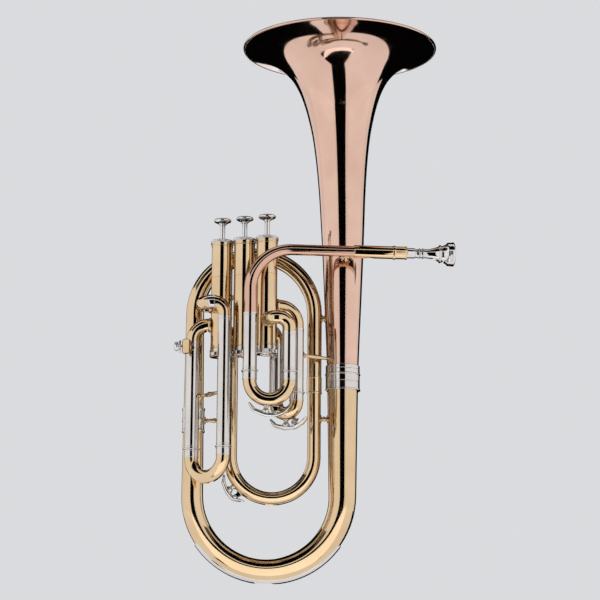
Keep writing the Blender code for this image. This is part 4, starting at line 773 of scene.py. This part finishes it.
def make_caps(number):
    """The knurled bottom cap with its vent, and the top cap with its low collar."""
    r, tight = CAP_RADIUS, CASING_TUBE
    outline = [
        (1.5, -4.0), (1.5, -5.9), (2.6, -6.4), (4.4, -6.2), (5.2, -5.4), (9.4, -5.4), (10.6, -5.0),
        (r, -4.0), (r, -3.9), (r, -0.6), (r, -0.5), (r - 0.5, -0.2), (r - 0.5, 1.0), (r, 1.3),
        (r, CAP_SKIRT), (tight, CAP_SKIRT), (tight, -3.6),
    ]
    place, flutes = valve(number, CASING_BOTTOM), (CAP_FLUTES, 0.28, -3.95, -0.55)
    dress(f"bottom_cap_{number}", [turned("bottom", ring(outline), NICKEL, place, UP, CAP_STEPS, flutes)])
    outline = [
        (tight, -CAP_SKIRT), (r, -CAP_SKIRT), (r, -1.9), (r - 0.35, -1.5), (r - 0.35, -1.4), (r, -1.0),
        (r, -0.9), (r, 1.0), (r, 1.1), (r - 0.6, 1.6), (9.8, 1.8), (6.6, 1.9), (5.2, 2.0), (4.7, 2.4),
        (3.1, 2.4), (3.1, 0.3), (tight, 0.3),
    ]
    place, flutes = valve(number, CASING_TOP), (CAP_FLUTES, 0.22, -0.95, 1.05)
    dress(f"top_cap_{number}", [turned("top", ring(outline), NICKEL, place, UP, CAP_STEPS, flutes)])


def make_button(number):
    """A dished button on its stem, with the collar under it."""
    low, stem_end = BUTTON_BOTTOM - BUTTON_TOP, CASING_TOP + 0.5 - BUTTON_TOP
    outline = [
        (0.01, -0.75), (2.5, -0.68), (4.8, -0.4), (6.4, -0.05), (7.2, 0.0), (8.1, -0.25), (8.7, -0.9),
        (BUTTON_RADIUS, -1.7), (8.75, -2.5), (8.0, -3.2), (7.0, -3.8), (5.6, -4.3), (4.4, -4.9),
        (3.6, -5.6), (3.4, low), (2.9, low), (2.9, low - 0.8), (STEM_RADIUS, low - 1.2),
        (STEM_RADIUS, stem_end), (0.01, stem_end),
    ]
    button = turned("button", outline, SILVER, valve(number, BUTTON_TOP), steps=FINE_STEPS)
    dress(f"finger_button_{number}", [button], f"valve_{number}")


HINGE_ALONG = 9.5
HINGE_OUT = 12.0
EAR_HEAD = 1.9
EAR_ACROSS = 2.85
LEVER_SIDES = 24
SPRING_COIL = 2.45
SPRING_STEPS = 20
SPRING_TURNS = 3


def key_axes(centre, radius, along, tilt):
    """Where a water key stands on its bow, and its three ways: ahead, across and out."""
    out = -UP * math.cos(tilt) + along * math.sin(tilt)
    ahead = along * math.cos(tilt) + UP * math.sin(tilt)
    return centre + out * radius, ahead, out.cross(ahead), out


def key_spot(axes, along, across, out):
    place, ahead, side, away = axes
    return place + ahead * along + side * across + away * out


def hinge(axes):
    return key_spot(axes, HINGE_ALONG, 0.0, HINGE_OUT)


def key_mount_pieces(name, axes):
    """The nipple with its lip, and two round ears."""
    nipple = [(3.1, 6.3), (3.1, 7.1), (2.3, 7.5), (2.1, 8.9), (2.3, 9.3), (1.3, 9.3), (1.2, 7.0)]
    pieces = [turned(name + "_nipple", eased(nipple, 0.2), NICKEL, axes[0], axes[3])]
    for flank in (-1, 1):
        pieces.append(key_ear(f"{name}_ear_{flank + 1}", axes, flank * EAR_ACROSS))
    return pieces


def key_ear(name, axes, across):
    """A hinge ear: a thin plate with a round head, wider where it stands on the tube."""
    outline = [(-3.4, 5.4), (-2.6, 6.9), (-1.9, 8.4), (-1.9, HINGE_OUT - 0.1)]
    for degrees in range(170, 9, -20):
        turn = math.radians(degrees)
        outline.append((EAR_HEAD * math.cos(turn), HINGE_OUT + EAR_HEAD * math.sin(turn)))
    outline += [(1.9, HINGE_OUT - 0.1), (1.9, 8.4), (2.6, 6.9), (3.4, 5.4)]
    points = []
    for layer in (-0.62, -0.45, 0.45, 0.62):
        shrink = 0.93 if abs(layer) > 0.5 else 1.0
        for along, out in outline:
            height = HINGE_OUT + (out - HINGE_OUT) * shrink
            points.append(key_spot(axes, HINGE_ALONG + along * shrink, across + layer, height))
    return mesh_piece(name, points, capped_rings(4, len(outline)), NICKEL)


def lever_pieces(name, axes, droop, tail, touch):
    """The crescent lever: an arm that widens into a cupped touch, with its cup and its hub."""
    corners = [
        (-tail, 9.0 - droop), (6.0 - tail, 13.0 - droop / 4), (0.0, 15.0), (HINGE_ALONG, 15.0),
        (touch - 5.6, 12.2 - droop / 4), (touch, 9.0 - droop),
    ]
    path = rounded([key_spot(axes, a, 0.0, o) for a, o in corners], (5.0, 6.0, 6.0, 5.0))
    total = length(path)
    side = axes[2]
    half_widths = [
        (0.0, 0.9), (1.2, 2.0), (4.0, 2.5), (10.0, 2.0), (20.0, 2.1), (28.0, 2.2),
        (total - 9.0, 3.6), (total - 4.0, 3.9), (total - 1.2, 2.9), (total, 1.2),
    ]
    half_depths = [
        (0.0, 0.6), (1.5, 1.3), (8.0, 2.1), (20.0, 2.4), (28.0, 2.1), (total - 5.0, 1.6),
        (total, 0.6),
    ]
    places, halves = with_radii(path, half_widths)
    points = []
    for place, half, way, along in zip(places, halves, ways_along(places), distances(places)):
        back = way.cross(side).normalized()
        depth = value_at(half_depths, along)
        points += [place + side * cos * half + back * sin * depth for cos, sin in circle(LEVER_SIDES)]
    cup = [
        (0.01, 11.6), (2.9, 11.6), (3.1, 10.9), (3.5, 10.9), (3.7, 11.3), (3.7, 12.7), (3.2, 13.3),
        (1.8, 13.9), (0.01, 14.1),
    ]
    hub = [(0.01, -1.9), (2.0, -1.9), (2.2, -1.6), (2.2, 1.6), (2.0, 1.9), (0.01, 1.9)]
    return [
        mesh_piece(name + "_arm", points, capped_rings(len(places), LEVER_SIDES), SILVER),
        turned(name + "_cup", cup, SILVER, axes[0], axes[3]),
        turned(name + "_hub", hub, SILVER, hinge(axes), side),
        pipe(name + "_web", [hinge(axes), hinge(axes) + axes[3] * 2.2], 1.5, SILVER),
        key_spring(name + "_spring", axes),
    ]


def key_spring(name, axes):
    """A few turns of wire round the hub, with one end under the arm."""
    points = []
    count = SPRING_TURNS * SPRING_STEPS
    for i in range(count + 1):
        turn = 2 * math.pi * i / SPRING_STEPS
        along, out = SPRING_COIL * math.cos(turn), SPRING_COIL * math.sin(turn)
        points.append(key_spot(axes, HINGE_ALONG + along, -0.9 + 1.8 * i / count, HINGE_OUT + out))
    points.append(key_spot(axes, 15.0, 0.9, 12.6))
    return pipe(name, points, 0.25, STEEL, 8)


def make_water_key(name, node, body, axes, pin_body, shape):
    """The lever, its cork and its hinge pin. shape is (droop, tail, touch)."""
    dress(f"{node}_water_key", lever_pieces(name, axes, *shape), body)
    outline = [(0.01, 9.62), (2.7, 9.62), (2.95, 9.9), (2.95, 11.4), (0.01, 11.4)]
    cork = turned(name + "_cork", outline, CORK, axes[0], axes[3], 48)
    dress(f"{node}_water_key_cork", [cork], body)
    outline = [
        (0.01, -3.7), (0.7, -3.7), (0.8, -3.5), (0.8, 3.8), (1.6, 3.8), (1.6, 4.1), (1.3, 4.3),
        (0.01, 4.3),
    ]
    pin = turned(name + "_pin", outline, STEEL, hinge(axes), axes[2], 32)
    dress(f"{node}_water_key_pin", [pin], pin_body)


def slide_pieces(name, feet, engaged, ferrule, out):
    """An inner slide: two polished legs, two nickel cuffs and a brass bow."""
    left, right = feet
    radius = (right - left).length / 2
    up, down = out * engaged, out * (GAP + ferrule + radius)
    path = rounded([left - up, left + down, right + down, right - up], (radius, radius))
    total = length(path)
    seat = engaged + GAP + ferrule
    pieces = []
    for i, foot in enumerate(feet):
        inner, mouth, end = (foot + out * along for along in (-engaged, GAP, GAP + ferrule))
        pieces.append(pipe(f"{name}_leg_{i}", [inner, mouth], LEG_TUBE, NICKEL))
        pieces.append(pipe(f"{name}_cuff_{i}", [mouth, end], CUFF_TUBE, NICKEL))
        for share in (0.12, 0.88):
            spot = foot + out * (GAP + ferrule * share)
            label = f"{name}_cuff_ring_{i}_{share}"
            pieces.append(band(label, spot, out, CUFF_TUBE, 0.9, 0.35, NICKEL))
    bend = [point_at(path, seat - 1.0)]
    bend += [p for p, d in zip(path, distances(path)) if seat < d < total - seat]
    bend.append(point_at(path, total - seat + 1.0))
    return [*pieces, pipe(name + "_bow", bend, SLIM_TUBE, BRASS)]


def make_keyed_slide(name, feet, engaged, tilt, body):
    """A slide with a water key under its bow."""
    left, right = feet
    centre = (left + right) / 2 - UP * (GAP + SLIDE_FERRULE)
    axes = key_axes(centre, (right - left).length / 2, (right - left).normalized(), math.radians(tilt))
    pieces = slide_pieces(name, feet, engaged, SLIDE_FERRULE, -UP)
    dress(name + "_slide", pieces + key_mount_pieces(name, axes), body)
    make_water_key(name + "_key", name, name + "_slide_key", axes, body, (4.0, 18.0, 23.5))


def make_slides():
    feet = [flat(xy, MAIN_BOTTOM) for xy in (MAIN_LEFT_XY, MAIN_RIGHT_XY)]
    make_keyed_slide("main", feet, MAIN_ENGAGED, -6.0, "main_tuning_slide")
    feet = [flat(xy, FIRST_BOTTOM) for xy in (FIRST_LEFT_XY, FIRST_RIGHT_XY)]
    make_keyed_slide("first", feet, FIRST_ENGAGED, 0.0, "first_valve_slide")
    feet = [valve(2, level) + SECOND_WAY * SECOND_SLEEVE_END for level in SECOND_LEVELS]
    pieces = slide_pieces("second", feet, SECOND_ENGAGED, SECOND_FERRULE, SECOND_WAY)
    dress("second_slide", pieces, "second_valve_slide")
    feet = [flat(xy, THIRD_BOTTOM) for xy in (THIRD_LEFT_XY, THIRD_RIGHT_XY)]
    pieces = slide_pieces("third", feet, THIRD_ENGAGED, SLIDE_FERRULE, -UP)
    dress("third_slide", pieces, "third_valve_slide")


def make_small_bow():
    radius = (BRANCH_RIGHT_X - SMALL_BOW_LEFT_X) / 2
    middle = (BRANCH_RIGHT_X + SMALL_BOW_LEFT_X) / 2
    low = SMALL_BOW_Z - radius
    corners = [
        flat(INNER_LEG, BRANCH_END_Z), flat(INNER_LEG, low),
        flat(SMALL_LEG, low), flat(SMALL_LEG, SMALL_BOW_PORT_Z), valve(3, SMALL_BOW_PORT_Z),
    ]
    path = seated(rounded(corners, (radius, radius, SMALL_BOW_ELBOW)), 3)
    stations = [
        (0.0, BRANCH_END_TUBE), (8.0, BRANCH_END_TUBE), (9.0, SLIM_TUBE),
        (length(path), SLIM_TUBE),
    ]
    pieces = [tube("small_bow", path, stations, BRASS), port_ring("small_bow_port", path, SLIM_TUBE)]
    axes = key_axes(flat((middle, 0.0), SMALL_BOW_Z), radius, RIGHT, math.radians(-52.0))
    dress("small_bow", pieces + key_mount_pieces("small_bow", axes))
    make_water_key("small_key", "small_bow", "small_bow_key", axes, "horn", (2.0, 15.5, 19.0))


def leadpipe_point(along):
    return flat(MAIN_LEFT_XY, LEADPIPE_Z) + LEADPIPE_WAY * along


def make_leadpipe():
    corners = [flat(MAIN_LEFT_XY, LEADPIPE_START), leadpipe_point(0.0), leadpipe_point(LEADPIPE_LENGTH)]
    path = rounded(corners, (LEADPIPE_BEND,))
    leg = LEADPIPE_Z - LEADPIPE_BEND - LEADPIPE_START
    bend_end = leg + LEADPIPE_BEND * math.pi / 2
    thick, thin, total = 6.4, LEADPIPE_MOUTH_TUBE, length(path)
    stations = [
        (0.0, thick), (leg, thick), (bend_end, LEADPIPE_STAY_TUBE), (total - 26.0, thin),
        (total, thin),
    ]
    dress("leadpipe", [tube("leadpipe", path, stations, COPPER, WIDE_TUBE_SIDES)])


def make_receiver():
    bead, end = 40.2, RECEIVER_LENGTH
    outline = [
        (5.6, 0.0), (6.3, 0.0), (6.6, 0.5), (6.6, bead - 0.6), (7.0, bead - 0.4),
        (7.3, bead + 0.3), (7.3, bead + 1.7), (7.0, bead + 2.4), (6.6, bead + 2.6),
        (6.6, end - 1.6), (6.9, end - 1.3), (6.9, end - 0.3), (6.6, end), (5.95, end),
        (5.5, end - 3.0),
    ]
    receiver = turned("receiver", ring(outline), GOLD, leadpipe_point(RECEIVER_START), LEADPIPE_WAY)
    dress("receiver", [receiver])


def make_mouthpiece():
    """The silver mouthpiece: stepped shank with two beads, beaded cup and a rounded rim."""
    outer = [
        (4.9, -24.0), (5.4, 0.0), (5.3, 9.0), (5.05, 9.35), (4.7, 9.6), (4.6, 10.2), (4.6, 13.3),
        (4.8, 13.6), (5.35, 13.9), (5.35, 14.5), (4.8, 14.9), (4.7, 15.3), (4.7, 16.7),
        (4.8, 17.1), (5.45, 17.5), (5.45, 18.1), (4.9, 18.5), (4.8, 19.0), (4.8, 22.5),
        (5.1, 25.0), (5.8, 28.0), (6.8, 31.0), (7.8, 33.3), (8.3, 34.2), (9.1, 34.5), (9.5, 35.1),
        (9.4, 35.8), (8.8, 36.3), (8.5, 36.8), (8.7, 38.0), (9.6, 40.0), (10.8, 41.9),
        (11.6, 42.6), (12.2, 43.1), (12.3, 44.6), (12.0, 44.8), (12.0, 45.1), (12.35, 45.3),
        (12.4, 46.9), (12.1, 47.1), (12.1, 47.4), (12.5, 47.6), (12.5, 48.8), (12.2, 49.6),
        (11.5, 50.1), (10.6, 50.2), (9.8, 49.9), (9.2, 49.3), (8.9, 48.4),
    ]
    cup = [
        (8.8, 47.0), (8.3, 43.5), (7.2, 39.5), (5.6, 36.0), (3.7, 33.0), (2.4, 31.2), (2.2, 30.0),
        (2.2, 25.0), (3.2, -24.0),
    ]
    place = leadpipe_point(RECEIVER_START + RECEIVER_LENGTH - MOUTHPIECE_SEAT)
    shape = turned("mouthpiece", ring([*outer, *cup]), SILVER, place, LEADPIPE_WAY, FINE_STEPS)
    dress("mouthpiece", [shape])


def make_lyre_holder():
    """The square socket for a music clip, with bevelled edges, and its knurled screw."""
    half, flare = 7.3, 0.3
    outer, rim, lip, hole = (3.7, 4.3, 1.1), (3.0, 3.6, 1.1), (2.4, 2.9, 1.1), (2.1, 2.6, 0.4)
    levels = [(outer, 0.7 - half), (outer, half - 0.7), (rim, half), (lip, half)]
    levels += [(hole, half - flare), (hole, flare - half), (lip, -half), (rim, -half)]
    twist = Matrix.Rotation(math.radians(-17.0), 3, "Z")
    points = []
    for (x, y, cut), z in levels:
        for a, b in ((1, -1), (1, 1), (-1, 1), (-1, -1)):
            pair = [Vector((a * x, b * (y - cut), z)), Vector((a * (x - cut), b * y, z))]
            points += [SOCKET + twist @ spot for spot in pair[:: a * b]]
    box = mesh_piece("socket", points, rings_to_faces(len(levels), 8, loop=True), BRASS)
    arm = [flat(xy, SOCKET.z) for xy in ((-79.5, -28.5), (-79.0, -25.0))]
    foot = tube("socket_foot", arm, [(0.0, 3.6), (length(arm), 4.4)], BRASS)
    dress("lyre_box", [box, foot])
    knob = [
        (0.01, -2.0), (1.6, -2.0), (1.6, 0.5), (5.9, 0.7), (6.2, 1.0), (6.2, 1.1), (6.2, 2.3),
        (6.2, 2.4), (5.9, 2.7), (2.8, 2.9), (2.8, 3.3), (4.2, 3.5), (4.6, 4.0), (4.7, 4.8),
        (4.6, 5.9), (4.1, 6.9), (3.1, 7.6), (1.6, 8.0), (0.01, 8.1),
    ]
    screw = turned("knob", knob, SILVER, SOCKET - RIGHT * 4.8, -RIGHT, 192, (32, 0.4, 1.05, 2.35))
    dress("lyre_screw", [screw], "lyre_thumbscrew")


def saddle(name, place, way, axis, radius):
    """A thin round plate bent to a tube's side, under the end of a stay."""
    across = axis.cross(way).normalized()
    rows, sides = 6, 36
    points = []
    for layer in (0.05, SADDLE_THICKNESS):
        for row in range(rows + 1):
            spread = SADDLE_RADIUS * row / rows
            lift = layer if row < rows else layer * 0.6
            for cos, sin in circle(sides):
                turn = spread * sin / radius
                spoke = way * math.cos(turn) + across * math.sin(turn)
                points.append(place + axis * spread * cos + spoke * (radius + lift))
    sheet = rings_to_faces(rows + 1, sides)
    upper = (rows + 1) * sides
    faces = sheet + [tuple(upper + k for k in face)[::-1] for face in sheet]
    low, high = rows * sides, rows * sides + upper
    for k in range(sides):
        j = (k + 1) % sides
        faces.append((low + k, low + j, high + j, high + k))
    return mesh_piece(name, points, faces, BRASS)


def make_stay(node, start, start_radius, end, end_radius, start_axis=UP):
    """A turned stay: two saddles, two flared ends, a slim rod and a bead at the middle."""
    reach = end - start
    way = reach.normalized()
    total = reach.length - start_radius - end_radius
    middle = total / 2
    half = [
        (0.01, -0.6), (3.2, -0.6), (3.2, 0.7), (2.3, 1.1), (1.6, 1.5), (1.5, 1.9), (2.3, 2.3),
        (2.3, 2.9), (1.5, 3.3), (1.5, 3.6), (1.75, total * 0.25), (2.05, total * 0.38),
        (2.15, middle - 1.3), (2.6, middle - 0.9), (2.7, middle - 0.3),
    ]
    outline = [(radius, min(along, middle - 0.01)) for radius, along in half]
    outline += [(radius, total - along) for radius, along in reversed(outline)]
    rod = turned(node + "_rod", outline, BRASS, start + way * start_radius, way, 40)
    near = saddle(node + "_near", start, way, start_axis, start_radius)
    dress(node, [rod, near, saddle(node + "_far", end, -way, UP, end_radius)])


def bell_radius(z):
    line = [(BOW_RIGHT_TOP, BELL_NECK_TUBE), (FERRULE_TOP, BELL_NECK_TUBE)]
    return value_at([*line, *[(height, radius) for radius, height in BELL_OUTLINE]], z)


def bow_right_radius(z):
    return bow_radius_at(length(bow_path()) - (BOW_RIGHT_TOP - z))


def make_stays():
    """The level stays: height, then the place in plan and radius of each tube. Then the leadpipe's."""
    for name, z, xy, radius, end_xy, end_radius in (
        ("third_slide_stay", 191.0, LEFT_LEG, 10.0, THIRD_RIGHT_XY, SLEEVE_TUBE),
        ("collar_stay", 167.5, LEFT_LEG, COLLAR_TUBE, SMALL_LEG, SLIM_TUBE),
        ("first_slide_stay", 231.0, FIRST_RIGHT_XY, SLEEVE_TUBE, BELL_LEG, bell_radius(231.0)),
        ("branch_stay", 275.0, INNER_LEG, BRANCH_ARCH_END_TUBE, BELL_LEG, bell_radius(275.0)),
        ("small_bow_stay", 169.8, INNER_LEG, SLIM_TUBE, BELL_LEG, bow_right_radius(169.8)),
    ):
        make_stay(name, flat(xy, z), radius, flat(end_xy, z), end_radius)
    start = leadpipe_point((LEADPIPE_STAY_X - MAIN_LEFT_XY[0]) / LEADPIPE_WAY.x)
    end = flat(BELL_LEG, LEADPIPE_Z)
    make_stay("leadpipe_stay", start, LEADPIPE_STAY_TUBE, end, bell_radius(LEADPIPE_Z), LEADPIPE_WAY)


def finish_hidden_parts():
    """The CAD nodes that stay: pistons, springs and guides inside the casings."""
    for number in VALVES:
        for part, look in (("piston", STEEL), ("valve_spring", STEEL), ("valve_guide", NYLON)):
            for slot in bpy.data.objects[f"{part}_{number}"].material_slots:
                slot.material = look


make_small_bow()
make_casings()
for number in VALVES:
    make_caps(number)
    make_button(number)
make_sleeves()
make_slides()
make_leadpipe()
make_receiver()
make_mouthpiece()
make_lyre_holder()
make_stays()
finish_hidden_parts()


def make_camera():
    camera = bpy.data.cameras.new("camera")
    camera.lens = 130.0
    camera.sensor_width = 36.0
    camera.clip_end = 50.0
    seen = placed("camera", camera)
    seen.location = CAMERA_PLACE * MM
    seen.rotation_mode = "XYZ"
    pitch = Matrix.Rotation(math.radians(90.0) + CAMERA_PITCH, 4, "X")
    seen.rotation_euler = (pitch @ Matrix.Rotation(CAMERA_ROLL, 4, "Z")).to_euler("XYZ")
    bpy.context.scene.camera = seen


def around(azimuth, distance, height):
    """A place round the horn. Azimuth 0 is straight in front, and 90 is on the bell's side."""
    turn = math.radians(azimuth)
    return AIM + Vector((math.sin(turn) * distance, -math.cos(turn) * distance, height - AIM.z))


def soft_box(name, azimuth):
    """A large rectangular lamp that faces the horn, its power set by how bright its face is."""
    lamp = bpy.data.lights.new(name, "AREA")
    lamp.shape = "RECTANGLE"
    lamp.size = BOX_WIDTH * MM
    lamp.size_y = BOX_HEIGHT * MM
    lamp.energy = BOX_RADIANCE * math.pi * BOX_WIDTH * BOX_HEIGHT * MM * MM
    box = placed(name, lamp)
    place = around(azimuth, BOX_DISTANCE, BOX_MIDDLE)
    box.location = place * MM
    box.rotation_mode = "QUATERNION"
    box.rotation_quaternion = (AIM - place).to_track_quat("-Z", "Y")


def plain(name, colour):
    made, tree, shader = new_material(name)
    feed(tree, shader, Base_Color=(*colour, 1.0), Roughness=1.0, Specular_IOR_Level=0.0)
    return made, tree, shader


def glowing(name, strength):
    made, tree, shader = plain(name, (0.8, 0.8, 0.8))
    feed(tree, shader, Emission_Color=(1.0, 0.99, 0.97, 1.0), Emission_Strength=strength)
    return made


def make_card(name, corners, look):
    """A flat card that only polished metal sees."""
    card = mesh_piece(name, corners, [tuple(range(len(corners)))], look)
    card.visible_camera = card.visible_shadow = card.visible_diffuse = False


def upright_card(name, azimuth, distance, width, high, look):
    """A card on the floor that faces the horn. A dark one gives the tubes their dark lines."""
    centre = around(azimuth, distance, 0.0)
    side = (AIM - centre).cross(UP).normalized() * width / 2
    feet = [(spot.x, spot.y) for spot in (centre - side, centre + side)]
    make_card(name, [flat(xy, FLOOR_Z) for xy in feet] + [flat(xy, high) for xy in feet[::-1]], look)


def shown_in_metal(tree):
    """1 for a ray that polished metal sends out, and 0 for any other."""
    return add(tree, "LightPath").outputs["Is Glossy Ray"]


def make_floor():
    """Pale paint, which polished metal sees as white."""
    look, tree, shader = plain("pale_floor", (0.93, 0.93, 0.94))
    feed(tree, shader, Emission_Color=(0.36, 0.355, 0.35, 1.0), Emission_Strength=shown_in_metal(tree))
    half = FLOOR_HALF
    corners = [flat(xy, FLOOR_Z) for xy in ((-half, -half), (half, -half), (half, half), (-half, half))]
    floor = mesh_piece("floor", corners, [(0, 1, 2, 3)], look)


def make_world():
    """A pale, even room, which polished metal sees a little lighter."""
    world = bpy.data.worlds.new("studio")
    world.use_nodes = True
    tree = world.node_tree
    mix = add(tree, "Mix")
    mix.data_type = "RGBA"
    feed(tree, mix, A=(0.70, 0.71, 0.73, 1.0), B=(0.96, 0.96, 0.97, 1.0), Factor=shown_in_metal(tree))
    feed(tree, tree.nodes["Background"], Color=mix.outputs["Result"])
    bpy.context.scene.world = world


AIM = Vector((20.0, 0.0, 290.0))
CAMERA_PLACE = Vector((32.0, -2201.0, -173.2))
CAMERA_PITCH = math.radians(12.0)
CAMERA_ROLL = math.radians(0.37)
FLOOR_Z = -220.0
FLOOR_HALF = 6000.0
LOW = FLOOR_Z + 2.0
CEILING_Z = 3000.0
FLAG_DISTANCE = 3400.0
BOX_DISTANCE = 2600.0
BOX_MIDDLE = 500.0
BOX_WIDTH = 4200.0
BOX_HEIGHT = 3600.0
BOX_RADIANCE = 0.1

make_camera()
make_floor()
make_world()
soft_box("left_box", -66.0)
soft_box("right_box", 66.0)
BLACK = plain("flag_black", (0.002, 0.002, 0.002))[0]
upright_card("front_flag", -2.5, FLAG_DISTANCE, 2300.0, 1800.0, BLACK)
upright_card("left_flag", -158.0, FLAG_DISTANCE, 1800.0, CEILING_Z, BLACK)
upright_card("right_flag", 150.0, FLAG_DISTANCE, 2800.0, CEILING_Z, BLACK)
upright_card("kick_card", 2.0, 205.0, 420.0, 80.0, glowing("kick_white", 0.98))
# Level dark cards, each with its height and its outline in plan as x, y, x, y and so on
for name, z, outline in (
    ("floor_flag_front", LOW, (-1250, -3380, 1000, -3380, 190, -620, 300, -215, -320, -215, -230, -620)),
    ("floor_flag_left", LOW, (-5000, 5000, -1200, 1300, -54, 160, -75, 1200, -75, 5900, -5000, 5900)),
    ("floor_flag_right", LOW, (9, 160, 700, 420, 5000, 2200, 5000, 5900, 44, 5900, 44, 1200)),
    ("ceiling_flag_front", CEILING_Z, (-4000, -4000, 4000, -4000, 4000, -600, -4000, -600)),
    ("ceiling_flag_back", CEILING_Z, (-4000, 600, 4000, 600, 4000, 4000, -4000, 4000)),
):
    make_card(name, [flat(xy, z) for xy in zip(outline[::2], outline[1::2])], BLACK)

bpy.context.scene.view_settings.view_transform = "Standard"
